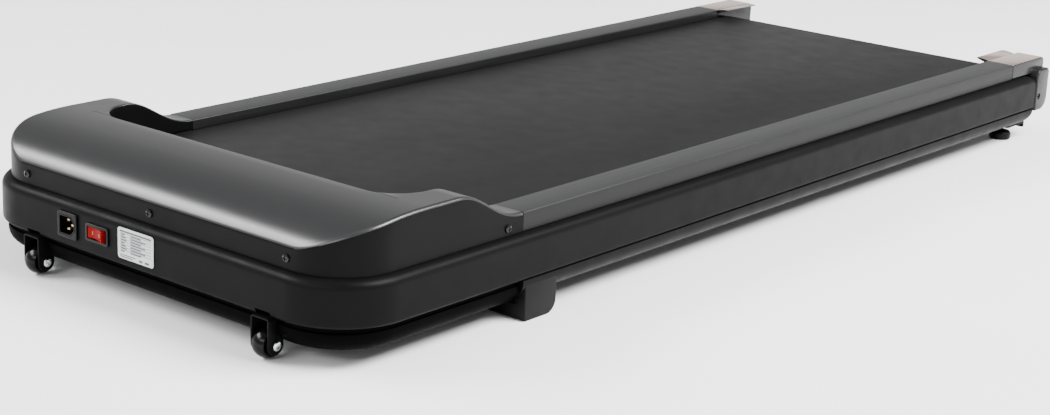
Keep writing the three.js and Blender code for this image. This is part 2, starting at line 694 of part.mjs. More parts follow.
function sideRail(sign) {
  const section = outline([
    [hoodHalf, skirtBottom],
    [hoodHalf, railTop, RAIL_EDGE_ROUND],
    [railInner, railTop, RAIL_EDGE_ROUND],
    [railInner, deckTop + 2 * GAP],
    [railInner + RAIL_WALL, deckTop + 2 * GAP],
    [railInner + RAIL_WALL, railTop - RAIL_WALL],
    [hoodHalf - RAIL_WALL, railTop - RAIL_WALL],
    [hoodHalf - RAIL_WALL, skirtBottom],
  ]);
  const rail = alongY(section, earEnd + GAP, capFront - RAIL_END_GAP, 1);
  return sign > 0 ? rail : rail.mirror([1, 0, 0]);
}

for (const [side, sign] of Object.entries(SIDES)) add(side + "_side_rail", sideRail(sign), "railPlastic");

const deckHalf = frameInner - DECK_SIDE_GAP;
add("deck_board", box(-deckHalf, deckHalf, deckFront, deckRear, deckBottom, deckTop), "wood");

const cushionZ = crossMemberTop + GAP;
for (const [place, y] of Object.entries(crossMembers)) {
  for (const [side, sign] of Object.entries(SIDES)) {
    const cushion = rod(CUSHION_RADIUS, 0, CUSHION_THICKNESS, Z, 16);
    add(`deck_cushion_${place}_${side}`, cushion, "rubber", [(sign * CUSHION_SPACING) / 2, y, cushionZ]);
  }
}

// A loop of belt in (y, z) round two pulleys, outside edge first.
function beltLoop(centreA, radiusA, centreB, radiusB, thickness) {
  const between = new THREE.Vector2().subVectors(centreB, centreA);
  const heading = between.angle();
  const spread = Math.acos((radiusA - radiusB) / between.length());
  const first = heading + spread;
  const last = heading - spread;
  const loop = (extra, path) => {
    path.absarc(centreA.x, centreA.y, radiusA + extra, first, last + 2 * Math.PI, false);
    path.absarc(centreB.x, centreB.y, radiusB + extra, last, first, false);
    path.closePath();
    return path;
  };
  const shape = loop(thickness, new THREE.Shape());
  shape.holes.push(loop(0, new THREE.Path()));
  return shape;
}

const walkingBelt = beltLoop(
  new THREE.Vector2(frontRollerY, rollerZ), beltRadius,
  new THREE.Vector2(rearRollerY, rollerZ), beltRadius,
  BELT_THICKNESS,
);
add("walking_belt", alongX(walkingBelt, -beltHalf, beltHalf, 8), "beltFabric");

// ---------------------------------------------------------------- rollers

const bearingOuter = ROLLER_RADIUS - ROLLER_WALL - GAP;
for (const [place, y] of Object.entries({ front: frontRollerY, rear: rearRollerY })) {
  const centre = [0, y, rollerZ];
  const tube = ring(ROLLER_RADIUS - ROLLER_WALL, ROLLER_RADIUS, -rollerHalf, rollerHalf, X);
  add(place + "_roller", tube, "steel", centre);
  for (const [side, sign] of Object.entries(SIDES)) {
    const bearing = ring(AXLE_RADIUS + GAP, bearingOuter, -BEARING_WIDTH / 2, BEARING_WIDTH / 2, X, 20);
    const x = sign * (rollerHalf - RUNNING_GAP - BEARING_WIDTH / 2);
    add(`${place}_roller_bearing_${side}`, bearing, "steel", [x, y, rollerZ]);
  }
  const reach = frameInner + AXLE_INTO_FRAME - 2 * GAP;
  const crossHole = rod(TENSION_BOLT.radius + GAP, -2 * AXLE_RADIUS, 2 * AXLE_RADIUS, Y, 16);
  const crossHoles = [-1, 1].map((sign) => crossHole.translate(sign * tensionX, 0, 0));
  const axle = rod(AXLE_RADIUS, -reach, reach, X);
  add(place + "_roller_axle", place === "rear" ? cutFrom(axle, crossHoles) : axle, "steel", centre);
}

// ---------------------------------------------------------------- drive

// A ribbed pulley along X from 0 to its width, on a hub.
function ribbedPulley(radius, bore, hub) {
  const pitch = PULLEY_WIDTH / PULLEY_RIB.count;
  const root = radius - PULLEY_RIB.depth;
  const profile = [[bore, -hub.length], [hub.radius, -hub.length], [hub.radius, 0]];
  for (let i = 0; i < PULLEY_RIB.count; i++) {
    profile.push([root, i * pitch], [radius, (i + 0.5) * pitch]);
  }
  profile.push([root, PULLEY_WIDTH], [bore, PULLEY_WIDTH], [bore, -hub.length]);
  return turned(profile, X, 28);
}

const rollerHub = { radius: bearingOuter, length: PULLEY_OFFSET - GAP };
add(
  "roller_pulley",
  ribbedPulley(ROLLER_PULLEY_RADIUS, AXLE_RADIUS + RUNNING_GAP, rollerHub),
  "castAluminium",
  [pulleyX, frontRollerY, rollerZ],
);
const motorHub = { radius: MOTOR_SHAFT_RADIUS + MOTOR_HUB.wall, length: MOTOR_HUB.length };
add(
  "motor_pulley",
  ribbedPulley(MOTOR_PULLEY_RADIUS, MOTOR_SHAFT_RADIUS + GAP, motorHub),
  "steel",
  [pulleyX, motorY, motorZ],
);
const driveBelt = beltLoop(
  new THREE.Vector2(frontRollerY, rollerZ), ROLLER_PULLEY_RADIUS + GAP,
  new THREE.Vector2(motorY, motorZ), MOTOR_PULLEY_RADIUS + GAP,
  DRIVE_BELT_THICKNESS,
);
const driveBeltX = pulleyX + (PULLEY_WIDTH - DRIVE_BELT_WIDTH) / 2;
add("drive_belt", alongX(driveBelt, driveBeltX, driveBeltX + DRIVE_BELT_WIDTH, 8), "rubber");

const shaftStart = motorEnd - MOTOR_SHAFT_BURIED;
add(
  "motor_shaft",
  rod(MOTOR_SHAFT_RADIUS, shaftStart, pulleyX + PULLEY_WIDTH + GAP, X, 16),
  "steel",
  [0, motorY, motorZ],
);

function driveMotor() {
  const { length, step, chamfer } = MOTOR_BELL;
  const bellRadius = MOTOR_RADIUS - step;
  const noseRadius = MOTOR_RADIUS - chamfer;
  const body = turned([
    [0, motorStart],
    [noseRadius, motorStart],
    [bellRadius, motorStart + length / 2],
    [bellRadius, motorStart + length],
    [MOTOR_RADIUS, motorStart + length],
    [MOTOR_RADIUS, motorEnd - length],
    [bellRadius, motorEnd - length],
    [bellRadius, motorEnd - length / 2],
    [noseRadius, motorEnd],
    [0, motorEnd],
  ], X, 28);
  const bore = rod(MOTOR_SHAFT_RADIUS + GAP, shaftStart - GAP, motorEnd + PAST, X, 16);
  const foot = (x) => box(
    x - MOTOR_FOOT.length / 2, x + MOTOR_FOOT.length / 2,
    motorY - MOTOR_RADIUS * MOTOR_FOOT.spread, motorY + MOTOR_RADIUS * MOTOR_FOOT.spread,
    motorBottom, motorBottom + MOTOR_RADIUS * MOTOR_FOOT.rise,
  );
  const feet = [foot(motorStart + MOTOR_FOOT.inset), foot(motorEnd - MOTOR_FOOT.inset)];
  return united([body.translate(0, motorY, motorZ), ...feet]).subtract(bore.translate(0, motorY, motorZ));
}

add("drive_motor", driveMotor(), "motorPaint");

function motorMountPlate() {
  const rear = motorY + MOTOR_RADIUS;
  const base = box(motorStart, cornerX, mountFront, rear, bayFloor, bayFloor + MOUNT_PLATE);
  const flange = box(motorStart, cornerX, mountFront, mountFront + MOUNT_PLATE, bayFloor, motorZ);
  return base.add(flange);
}

add("motor_mount_plate", motorMountPlate(), "steel");

function controller() {
  const { width, depth, height, fins, finHeight } = CONTROLLER;
  const front = frameFront + INLET_BODY.depth + CONTROLLER_GAP;
  const pitch = depth / fins;
  const top = bayFloor + height;
  const shape = new THREE.Shape();
  shape.moveTo(front, bayFloor);
  shape.lineTo(front + depth, bayFloor);
  for (let i = fins; i > 0; i--) {
    const y = front + i * pitch;
    shape.lineTo(y, top);
    shape.lineTo(y - pitch / 2, top);
    shape.lineTo(y - pitch / 2, top - finHeight);
    shape.lineTo(y - pitch, top - finHeight);
  }
  shape.closePath();
  return alongX(shape, INLET_X - width / 2, INLET_X + width / 2);
}

add("motor_controller", controller(), "castAluminium");

// ---------------------------------------------------------------- front panel

function powerInlet() {
  const { width, height, thickness, corner } = INLET_FLANGE;
  const face = frameFront - GAP;
  const rim = rectangle(-width / 2, -height / 2, width / 2, height / 2, corner);
  const flange = alongY(rim, face - thickness, face);
  const body = box(
    -INLET_BODY.width / 2, INLET_BODY.width / 2,
    face - GAP, face + INLET_BODY.depth,
    -INLET_BODY.height / 2, INLET_BODY.height / 2,
  );
  const w = INLET_SOCKET.width / 2;
  const h = INLET_SOCKET.height / 2;
  const cut = INLET_SOCKET.cut;
  const mouth = face - thickness;
  const socket = alongY(outline([
    [-w, -h, INLET_SOCKET.corner],
    [w - cut, -h],
    [w, -h + cut],
    [w, h - cut],
    [w - cut, h],
    [-w, h, INLET_SOCKET.corner],
  ]), mouth - PAST, mouth + INLET_SOCKET.depth, 1);
  const slots = pinPlaces().map(([x, z]) => box(
    x - PIN.width / 2 - GAP, x + PIN.width / 2 + GAP,
    mouth, face + INLET_BODY.depth + PAST,
    z - PIN.thickness / 2 - GAP, z + PIN.thickness / 2 + GAP,
  ));
  return cutFrom(flange.add(body), [socket, ...slots]);
}

// Centres of the line, neutral and earth pins about the socket's centre.
function pinPlaces() {
  return [[-PIN.stagger / 2, PIN.spacing / 2], [-PIN.stagger / 2, -PIN.spacing / 2], [PIN.stagger, 0]];
}

add("power_inlet", powerInlet(), "blackPlastic", [INLET_X, 0, inletZ]);
["line", "neutral", "earth"].forEach((name, i) => {
  const [x, z] = pinPlaces()[i];
  const tip = frameFront - GAP - INLET_FLANGE.thickness + PIN.recess;
  const pin = box(
    -PIN.width / 2, PIN.width / 2,
    tip, tip + PIN.length,
    -PIN.thickness / 2, PIN.thickness / 2,
  );
  add("inlet_pin_" + name, pin, "brass", [INLET_X + x, 0, inletZ + z]);
});

function switchHousing() {
  const { width, height, thickness, corner } = SWITCH_BEZEL;
  const face = frameFront - GAP;
  const rim = rectangle(-width / 2, -height / 2, width / 2, height / 2, corner);
  const bezel = alongY(rim, face - thickness, face);
  const body = box(
    -SWITCH_BODY.width / 2, SWITCH_BODY.width / 2,
    face - GAP, face + SWITCH_BODY.depth,
    -SWITCH_BODY.height / 2, SWITCH_BODY.height / 2,
  );
  const well = box(
    -ROCKER.width / 2 - 2 * ROCKER_GAP, ROCKER.width / 2 + 2 * ROCKER_GAP,
    face - thickness - PAST, face + ROCKER.pivot + ROCKER.belly + 2 * ROCKER_GAP,
    -ROCKER.height / 2 - ROCKER_GAP / 2, ROCKER.height / 2 + ROCKER_GAP / 2,
  );
  return bezel.add(body).subtract(well);
}

add("switch_housing", switchHousing(), "blackPlastic", [SWITCH_X, 0, switchZ]);

// The rocker turns about an upright axis; at rest its left end is pressed in.
function switchRocker() {
  const { width, height, proud, dish, tilt, skirt, belly } = ROCKER;
  const shape = new THREE.Shape();
  shape.moveTo(-width / 2, -proud);
  shape.lineTo(0, -proud + dish);
  shape.lineTo(width / 2, -proud);
  shape.lineTo(width / 2, -skirt);
  shape.quadraticCurveTo(width / 4, belly, 0, belly);
  shape.quadraticCurveTo(-width / 4, belly, -width / 2, -skirt);
  shape.closePath();
  return alongZ(shape, -height / 2, height / 2, 3).rotate([0, 0, -tilt]);
}

const rockerY = frameFront - GAP - SWITCH_BEZEL.thickness + ROCKER.pivot + ROCKER.skirt;
add("switch_rocker", switchRocker(), "redPlastic", [SWITCH_X, rockerY, switchZ]);

function ratingPlate() {
  const { width, height, thickness, corner } = PLATE;
  const plan = rectangle(-width / 2, -height / 2, width / 2, height / 2, corner);
  return alongY(plan, frameFront - GAP - thickness, frameFront - GAP);
}

add("rating_plate", ratingPlate(), "plateFoil", [PLATE.x, 0, plateZ]);

// ---------------------------------------------------------------- leads inside the motor bay

function lead(points, radius) {
  const circle = new THREE.Shape().absarc(0, 0, radius, 0, 2 * Math.PI);
  const path = new THREE.CatmullRomCurve3(points.map((point) => new THREE.Vector3(...point)));
  return solid(new THREE.ExtrudeGeometry(circle, { steps: 16, extrudePath: path, curveSegments: 4 }));
}

const controllerRight = INLET_X + CONTROLLER.width / 2;
const leadZ = bayFloor + LEAD.height;
add("motor_lead", lead([
  [controllerRight + RUNNING_GAP, motorY, leadZ],
  [controllerRight + LEAD.stub, motorY, leadZ - LEAD.sag / 4],
  [(controllerRight + motorStart) / 2, motorY + LEAD.sag, leadZ - LEAD.sag],
  [motorStart - LEAD.stub, motorY, leadZ + LEAD.rise * 0.8],
  [motorStart - RUNNING_GAP, motorY, leadZ + LEAD.rise],
], LEAD.radius), "rubber");

// ---------------------------------------------------------------- transport wheels

function wheelFork() {
  const top = bayTop - GAP;
  const front = wheelY - FORK_ROUND;
  const rear = wheelY + FORK_ROUND;
  const bottom = wheelZ - FORK_ROUND;
  const side = outline([
    [front, top],
    [front, bottom, FORK_ROUND - GAP],
    [rear, bottom, FORK_ROUND - GAP],
    [rear, top],
  ]);
  const inside = FORK_HALF_WIDTH - FORK_SHEET;
  const slot = box(-inside, inside, front - PAST, rear + PAST, 0, top - FORK_SHEET);
  const boltHole = rod(WHEEL_BOLT_RADIUS + GAP, -BODY_WIDTH, BODY_WIDTH, X, 16);
  const cuts = [slot, boltHole.translate(0, wheelY, wheelZ)];
  return cutFrom(alongX(side, -FORK_HALF_WIDTH, FORK_HALF_WIDTH, 3), cuts);
}

function wheel() {
  const bore = WHEEL_BOLT_RADIUS + GAP;
  const half = WHEEL_HALF_WIDTH;
  const crown = [-1, -0.6, 0, 0.6, 1].map((t) => [WHEEL_RADIUS - WHEEL_CROWN * t * t, t * half]);
  return turned([[bore, -half], ...crown, [bore, half], [bore, -half]], X, 28);
}

// The bolt's head is on its +X side; it screws into the far cheek.
function wheelBolt() {
  const outside = FORK_HALF_WIDTH + GAP;
  return turned([
    [0, -outside - BOLT_END],
    [WHEEL_BOLT_RADIUS, -outside - BOLT_END],
    [WHEEL_BOLT_RADIUS, outside],
    [BOLT_HEAD_RADIUS, outside],
    [BOLT_HEAD_RADIUS, outside + BOLT_HEAD_HEIGHT - BOLT_CHAMFER],
    [BOLT_HEAD_RADIUS - BOLT_CHAMFER, outside + BOLT_HEAD_HEIGHT],
    [0, outside + BOLT_HEAD_HEIGHT],
  ], X, 16);
}

for (const [side, sign] of Object.entries(SIDES)) {
  const x = sign * wheelX;
  add(side + "_wheel_fork", wheelFork(), "framePaint", [x, 0, 0]);
  add(side + "_wheel", wheel(), "blackPlastic", [x, wheelY, wheelZ]);
  add(side + "_wheel_bolt", wheelBolt(), "chrome", [x, wheelY, wheelZ]);
}

// ---------------------------------------------------------------- feet

function supportBlock() {
  const { width, length, inset, setback, round, toe } = BLOCK;
  const y = bayEnd + setback;
  const side = outline([[y, 0, toe], [y + length, 0, round], [y + length, bayTop], [y, bayTop]]);
  const outer = halfWidth - inset;
  const seat = sweptRound([
    [-GAP, frameTop],
    [FRAME_DEPTH + GAP, frameTop],
    [FRAME_DEPTH + GAP, frameBottom - GAP, FRAME_EDGE_ROUND],
    [-GAP, frameBottom - GAP, frameBottomRound],
  ], frameRear);
  return alongX(side, outer - width, outer, 3).subtract(seat);
}

function levellingFoot() {
  return turned([
    [0, 0],
    [FOOT_RADIUS - FOOT_EDGE, 0],
    [FOOT_RADIUS, FOOT_EDGE],
    [FOOT_RADIUS, FOOT_HEIGHT - FOOT_SHOULDER],
    [FOOT_RADIUS - FOOT_SHOULDER * 0.3, FOOT_HEIGHT - FOOT_SHOULDER * 0.4],
    [FOOT_RADIUS - FOOT_SHOULDER, FOOT_HEIGHT],
    [STUD_RADIUS, FOOT_HEIGHT],
    [STUD_RADIUS, FOOT_HEIGHT + STUD_LENGTH],
    [0, FOOT_HEIGHT + STUD_LENGTH],
  ], Z, 24);
}

for (const [side, sign] of Object.entries(SIDES)) {
  const block = supportBlock();
  add(side + "_support_block", sign > 0 ? block : block.mirror([1, 0, 0]), "rubber");
  add(side + "_levelling_foot", levellingFoot(), "rubber", [sign * footX, footY, 0]);
}

// ---------------------------------------------------------------- end caps

function endCap() {
  const behind = frameRear + CAP_GAP;
  const inner = railInner + 2 * GAP;
  const innerWall = frameInner - GAP;
  const insideBottom = rollerZ - ROLLER_RADIUS;
  const top = alongX(outline([
    [capFront, skirtBottom],
    [capRear, skirtBottom],
    [capRear, railTop, CAP_EDGE_ROUND],
    [capFront, railTop],
  ]), inner, hoodHalf);
  const rear = alongX(outline([
    [behind, CAP_CLEARANCE, CAP_EDGE_ROUND],
    [capRear, CAP_CLEARANCE, CAP_ROUND],
    [capRear, skirtBottom + CAP_LAP, CAP_EDGE_ROUND],
    [behind, skirtBottom + CAP_LAP],
  ]), inner, halfWidth, 3);
  const side = box(inner, innerWall, capFront, capRear - CAP_WALL, insideBottom, skirtBottom + PAST);
  const topHollow = box(
    inner + CAP_WALL, hoodHalf - CAP_WALL,
    capFront + CAP_WALL, capRear - CAP_BACK,
    skirtBottom - PAST, railTop - CAP_WALL,
  );
  const sideHollow = box(
    inner + CAP_WALL, innerWall + PAST,
    capFront + CAP_WALL, capRear - CAP_BACK,
    0, skirtBottom + 2 * PAST,
  );
  const rearHollow = box(
    innerWall, halfWidth - CAP_WALL,
    behind - PAST, capRear - CAP_BACK,
    CAP_CLEARANCE + CAP_WALL + PAST, skirtBottom + 2 * PAST,
  );
  const axleSlot = box(
    inner - PAST, inner + CAP_WALL + PAST,
    rearRollerY - AXLE_RADIUS - RUNNING_GAP, rearRollerY + AXLE_RADIUS + RUNNING_GAP,
    0, rollerZ + AXLE_RADIUS + RUNNING_GAP,
  );
  const boltHole = rod(TENSION_BOLT.radius + GAP, 0, capRear + PAST, Y, 16);
  const headSeat = capRear - TENSION_BOLT.headHeight - RUNNING_GAP;
  const headHole = rod(TENSION_BOLT.headRadius + RUNNING_GAP, headSeat, capRear + PAST, Y);
  const holes = [boltHole, headHole].map((hole) => hole.translate(tensionX, 0, rollerZ));
  const boss = box(
    halfWidth - SCREW_LENGTH - CAP_SCREW_SUNK, halfWidth - CAP_WALL / 2,
    behind, capScrewY + CAP_SCREW_SETBACK,
    capScrewZ - CAP_SCREW_SETBACK, capScrewZ + CAP_SCREW_SETBACK,
  );
  const sideHoles = [
    rod(SCREW_SHANK + GAP, -BODY_WIDTH, PAST, X, 12),
    rod(SCREW_HEAD + GAP, -CAP_SCREW_SUNK, PAST, X, 16),
  ].map((hole) => hole.translate(halfWidth, capScrewY, capScrewZ));
  const lipHigh = railTop - LIP_DROP;
  const lipPlan = rectangle(inner - LIP_REACH, lipHigh - LIP_THICKNESS, inner + PAST, lipHigh, LIP_ROUND);
  const lip = alongY(lipPlan, capFront, capRear, 1);
  const shell = cutFrom(united([top, rear, side]), [topHollow, sideHollow, rearHollow]);
  const fitted = cutFrom(united([shell, boss]), [axleSlot, ...holes, ...sideHoles]);
  return fitted.add(lip);
}

function tensionBolt() {
  const { radius, headRadius, headHeight, length } = TENSION_BOLT;
  const head = capRear - headHeight;
  return turned([
    [0, head - length],
    [radius, head - length],
    [radius, head],
    [headRadius, head],
    [headRadius, capRear - RUNNING_GAP],
    [0, capRear - RUNNING_GAP],
  ], Y, 18);
}

for (const [side, sign] of Object.entries(SIDES)) {
  const cap = endCap();
  add(side + "_end_cap", sign > 0 ? cap : cap.mirror([1, 0, 0]), "capPlastic");
  add(side + "_tension_bolt", tensionBolt(), "steel", [sign * tensionX, 0, rollerZ]);
  const screwX = sign * (halfWidth - CAP_SCREW_SUNK);
  add(side + "_cap_screw", screw().rotate(facing[side]), "chrome", [screwX, capScrewY, capScrewZ]);
}

// ---------------------------------------------------------------- origin

// The origin is on the floor, at the middle of the length between the wheels' fronts and the caps' backs.
const wheelFront = wheelY - WHEEL_RADIUS;
for (const mesh of treadmill.children) mesh.position.y -= (wheelFront + capRear) / 2;

export default treadmill;
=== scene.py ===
import json
import math

import bmesh
import bpy
from mathutils import Matrix, Vector


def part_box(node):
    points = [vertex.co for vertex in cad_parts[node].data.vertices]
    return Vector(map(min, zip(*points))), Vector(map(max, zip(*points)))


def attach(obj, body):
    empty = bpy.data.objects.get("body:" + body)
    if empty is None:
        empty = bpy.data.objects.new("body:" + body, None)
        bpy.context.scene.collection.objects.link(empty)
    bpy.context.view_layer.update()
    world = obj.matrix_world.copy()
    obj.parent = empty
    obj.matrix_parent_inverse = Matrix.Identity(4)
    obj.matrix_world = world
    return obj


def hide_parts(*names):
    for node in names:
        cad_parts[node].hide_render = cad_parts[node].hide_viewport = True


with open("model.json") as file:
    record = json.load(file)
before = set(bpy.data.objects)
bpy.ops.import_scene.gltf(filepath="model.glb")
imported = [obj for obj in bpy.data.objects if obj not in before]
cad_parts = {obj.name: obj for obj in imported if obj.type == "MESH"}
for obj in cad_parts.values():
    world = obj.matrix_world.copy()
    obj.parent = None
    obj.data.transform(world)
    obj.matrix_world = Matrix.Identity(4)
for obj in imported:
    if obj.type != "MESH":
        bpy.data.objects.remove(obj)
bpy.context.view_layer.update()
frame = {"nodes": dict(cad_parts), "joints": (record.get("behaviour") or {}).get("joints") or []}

MM = 0.001
GAP = 0.3 * MM      # between fitted parts
PAST = MM           # how far a cutting solid reaches beyond what it cuts

# ---------------------------------------------------------------- places taken from the frame

RAIL_LO, RAIL_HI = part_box("right_side_rail")
HOOD_LO, HOOD_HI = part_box("motor_hood")
PAN_LO, PAN_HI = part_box("belly_pan")
CAP_LO, CAP_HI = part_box("right_end_cap")
BELT_LO, BELT_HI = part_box("walking_belt")

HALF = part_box("frame_tube")[1].x
TUBE_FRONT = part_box("frame_tube")[0].y
TUBE_DEPTH = 25 * MM
TUBE_TOP = RAIL_LO.z - GAP
TUBE_BOTTOM = 22 * MM
CAP_PAST_TUBE = 35.1 * MM
TUBE_REAR = CAP_HI.y - CAP_PAST_TUBE
TUBE_CORNER = 72 * MM
BAY_TOP = PAN_HI.z + GAP
BAY_END = PAN_HI.y + GAP

RAIL_IN = RAIL_LO.x
RAIL_OUT = RAIL_HI.x
BELT_TOP = BELT_HI.z

TUBE_END_TOP = 18 * MM
TUBE_END_BOTTOM = 22 * MM
TUBE_END_START = TUBE_REAR - 30 * MM
INLET_BODY = (24.6 * MM, 22 * MM)
SWITCH_BODY = (29.4 * MM, 14.2 * MM)
AXLE_HOLE = 3.3 * MM

# ---------------------------------------------------------------- mesh work


def centre_of(node):
    """The middle of a node's box."""
    lo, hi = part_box(node)
    return (lo + hi) / 2


def tidied(obj, sharp=30, merge=1e-6):
    """Merges doubles, faces the surface outwards and leaves only edges over `sharp` degrees hard."""
    bm = bmesh.new()
    bm.from_mesh(obj.data)
    bmesh.ops.remove_doubles(bm, verts=bm.verts, dist=merge)
    bmesh.ops.dissolve_degenerate(bm, edges=bm.edges, dist=merge)
    bmesh.ops.recalc_face_normals(bm, faces=bm.faces)
    for face in bm.faces:
        face.smooth = True
    for edge in bm.edges:
        edge.smooth = len(edge.link_faces) == 2 and edge.calc_face_angle() < math.radians(sharp)
    bm.to_mesh(obj.data)
    bm.free()
    return obj


def made(name, verts, faces, sharp=30):
    """A mesh object from points and faces."""
    mesh = bpy.data.meshes.new(name)
    mesh.from_pydata([tuple(v) for v in verts], [], faces)
    obj = bpy.data.objects.new(name, mesh)
    bpy.context.scene.collection.objects.link(obj)
    return tidied(obj, sharp)


def softened(obj, width, segments=3, over=30, sharp=40):
    """Rounds every edge that turns by more than `over` degrees."""
    bm = bmesh.new()
    bm.from_mesh(obj.data)
    edges = [
        edge for edge in bm.edges
        if len(edge.link_faces) == 2 and edge.calc_face_angle() > math.radians(over)
    ]
    bmesh.ops.bevel(
        bm, geom=edges, offset=width, segments=segments, profile=0.5, affect="EDGES", clamp_overlap=True,
    )
    bm.to_mesh(obj.data)
    bm.free()
    return tidied(obj, sharp)


def combined(obj, others, operation="DIFFERENCE", sharp=30):
    """Cuts, joins or intersects obj with the others, which are used up."""
    for other in others:
        modifier = obj.modifiers.new("combine", "BOOLEAN")
        modifier.object = other
        modifier.operation = operation
        modifier.solver = "EXACT"
    graph = bpy.context.evaluated_depsgraph_get()
    mesh = bpy.data.meshes.new_from_object(obj.evaluated_get(graph))
    obj.modifiers.clear()
    obj.data = mesh
    for other in others:
        bpy.data.objects.remove(other)
    return tidied(obj, sharp)


def joined(obj, others):
    """Other meshes as loose parts of obj."""
    bm = bmesh.new()
    for source in (obj, *others):
        bm.from_mesh(source.data)
    bm.to_mesh(obj.data)
    bm.free()
    for other in others:
        bpy.data.objects.remove(other)
    return tidied(obj)


def arc(centre, radius, start, end, count=8):
    """Points on an arc, angles in degrees."""
    angles = (math.radians(start + (end - start) * i / count) for i in range(count + 1))
    return [(centre[0] + radius * math.cos(a), centre[1] + radius * math.sin(a)) for a in angles]


def rounded(corners, count=6):
    """A closed outline through corners (x, y, radius)."""
    points = []
    for i, corner in enumerate(corners):
        here = Vector(corner[:2])
        radius = corner[2] if len(corner) > 2 else 0
        if radius == 0:
            points.append(tuple(here))
            continue
        before = (Vector(corners[i - 1][:2]) - here).normalized()
        after = (Vector(corners[(i + 1) % len(corners)][:2]) - here).normalized()
        half = before.angle(after) / 2
        middle = here + (before + after).normalized() * radius / math.sin(half)
        start = here + before * radius / math.tan(half) - middle
        end = here + after * radius / math.tan(half) - middle
        turn = start.angle_signed(end)
        for k in range(count + 1):
            spoke = start.copy()
            spoke.rotate(Matrix.Rotation(-turn * k / count, 2))
            points.append(tuple(middle + spoke))
    return points


def rectangle(x0, y0, x1, y1, radius=0, count=6):
    """A rectangle's outline between two corners."""
    return rounded([(x0, y0, radius), (x1, y0, radius), (x1, y1, radius), (x0, y1, radius)], count)


PLACED = {
    "x": lambda u, v, t: (t, u, v),
    "y": lambda u, v, t: (u, t, v),
    "z": lambda u, v, t: (u, v, t),
}


def prism(name, outline, axis, low, high, sharp=30):
    """An outline in the other two axes, extruded along `axis` from low to high."""
    place = PLACED[axis]
    count = len(outline)
    verts = [place(u, v, t) for t in (low, high) for u, v in outline]
    faces = [tuple(range(count)), tuple(range(count, 2 * count))]
    faces += [(i, (i + 1) % count, count + (i + 1) % count, count + i) for i in range(count)]
    return made(name, verts, faces, sharp)


def block(x0, x1, y0, y1, z0, z1, name="block"):
    """A plain box."""
    return prism(name, rectangle(x0, y0, x1, y1), "z", z0, z1)


def turned(name, profile, axis, centre, segments=48, sharp=30, closed=False):
    """A profile of (radius, distance along) points turned about an axis through centre."""
    place = PLACED[axis]
    verts, faces = [], []
    for radius, along in profile:
        for i in range(segments):
            angle = 2 * math.pi * i / segments
            point = place(radius * math.cos(angle), radius * math.sin(angle), along)
            verts.append(Vector(point) + Vector(centre))
    spans = len(profile) if closed else len(profile) - 1
    for i in range(spans):
        a, b = i * segments, ((i + 1) % len(profile)) * segments
        faces += [(a + j, a + (j + 1) % segments, b + (j + 1) % segments, b + j) for j in range(segments)]
    return made(name, verts, faces, sharp)


def pin(axis, centre, radius, low, high, segments=32):
    """A plain round bar, mostly used to cut a hole."""
    return turned("pin", [(0, low), (radius, low), (radius, high), (0, high)], axis, centre, segments)


def arc_drop(radius, distance):
    """How far a quarter round has dropped at a distance from where it meets its upright face."""
    return radius - math.sqrt(max(0, radius ** 2 - (radius - distance) ** 2))


def loft(name, rings, sharp=30, caps=True):
    """A skin through closed rings of points."""
    count = len(rings[0])
    verts = [point for ring in rings for point in ring]
    faces = []
    for i in range(len(rings) - 1):
        a, b = i * count, (i + 1) * count
        faces += [(a + j, a + (j + 1) % count, b + (j + 1) % count, b + j) for j in range(count)]
    if caps:
        faces += [tuple(range(count)), tuple(range(len(verts) - count, len(verts)))]
    return made(name, verts, faces, sharp)


def u_stations(half, front, corner, rear, arcs=20, front_steps=8, side_ys=()):
    """Points and outward normals round the body: down the left side, round the front, up the right side."""
    stations = [(Vector((-half, y)), Vector((-1, 0))) for y in (rear, *sorted(side_ys, reverse=True))]
    for side, start in ((-1, 180), (1, 270)):
        middle = Vector((side * (half - corner), front + corner))
        for i in range(arcs + 1):
            angle = math.radians(start + 90 * i / arcs)
            normal = Vector((math.cos(angle), math.sin(angle)))
            stations.append((middle + normal * corner, normal))
        if side < 0:
            span = 2 * (half - corner)
            stations += [
                (Vector((-span / 2 + span * i / front_steps, front)), Vector((0, -1)))
                for i in range(1, front_steps)
            ]
    stations += [(Vector((half, y)), Vector((1, 0))) for y in (*sorted(side_ys), rear)]
    return stations


def edge_inset(z, low, high, low_round, high_round):
    """How far a face between two heights draws in at its rounded lower and upper edges."""
    inset = 0
    if z < low + low_round:
        inset = arc_drop(low_round, z - low)
    if z > high - high_round:
        inset = max(inset, arc_drop(high_round, high - z))
    return inset


def round_levels(low, high, low_round, high_round, middle=6, count=10):
    """Heights that follow both roundings closely."""
    bottom = [low + low_round * (1 - math.cos(math.radians(90 * i / count))) for i in range(count + 1)]
    top = [high - high_round * (1 - math.sin(math.radians(90 * i / count))) for i in range(count + 1)]
    span = top[0] - bottom[-1]
    return bottom + [bottom[-1] + span * i / middle for i in range(1, middle)] + top


def ladder(rings, count):
    """Closes both ends of a hollow sweep, whose sections run up `count` points and down as many."""
    quads = [
        [ring[k], ring[k + 1], ring[2 * count - 2 - k], ring[2 * count - 1 - k]]
        for ring in (rings[0], rings[-1]) for k in range(count - 1)
    ]
    verts = [point for quad in quads for point in quad]
    return made("ends", verts, [tuple(range(4 * i, 4 * i + 4)) for i in range(len(quads))])


def band(name, levels, outer, inner, stations, end_inset):
    """A section given by its outer and inner insets at each height, swept along stations."""
    rings = []
    for i, (point, normal) in enumerate(stations):
        at_end = i in (0, len(stations) - 1)
        ring = []
        for inset, heights in ((outer, levels), (inner, levels[::-1])):
            for z in heights:
                spot = point - normal * inset(z)
                ring.append((spot.x, spot.y - (end_inset(z) if at_end else 0), z))
        rings.append(ring)
    return joined(loft(name, rings, caps=False), [ladder(rings, len(levels))])


# ---------------------------------------------------------------- materials


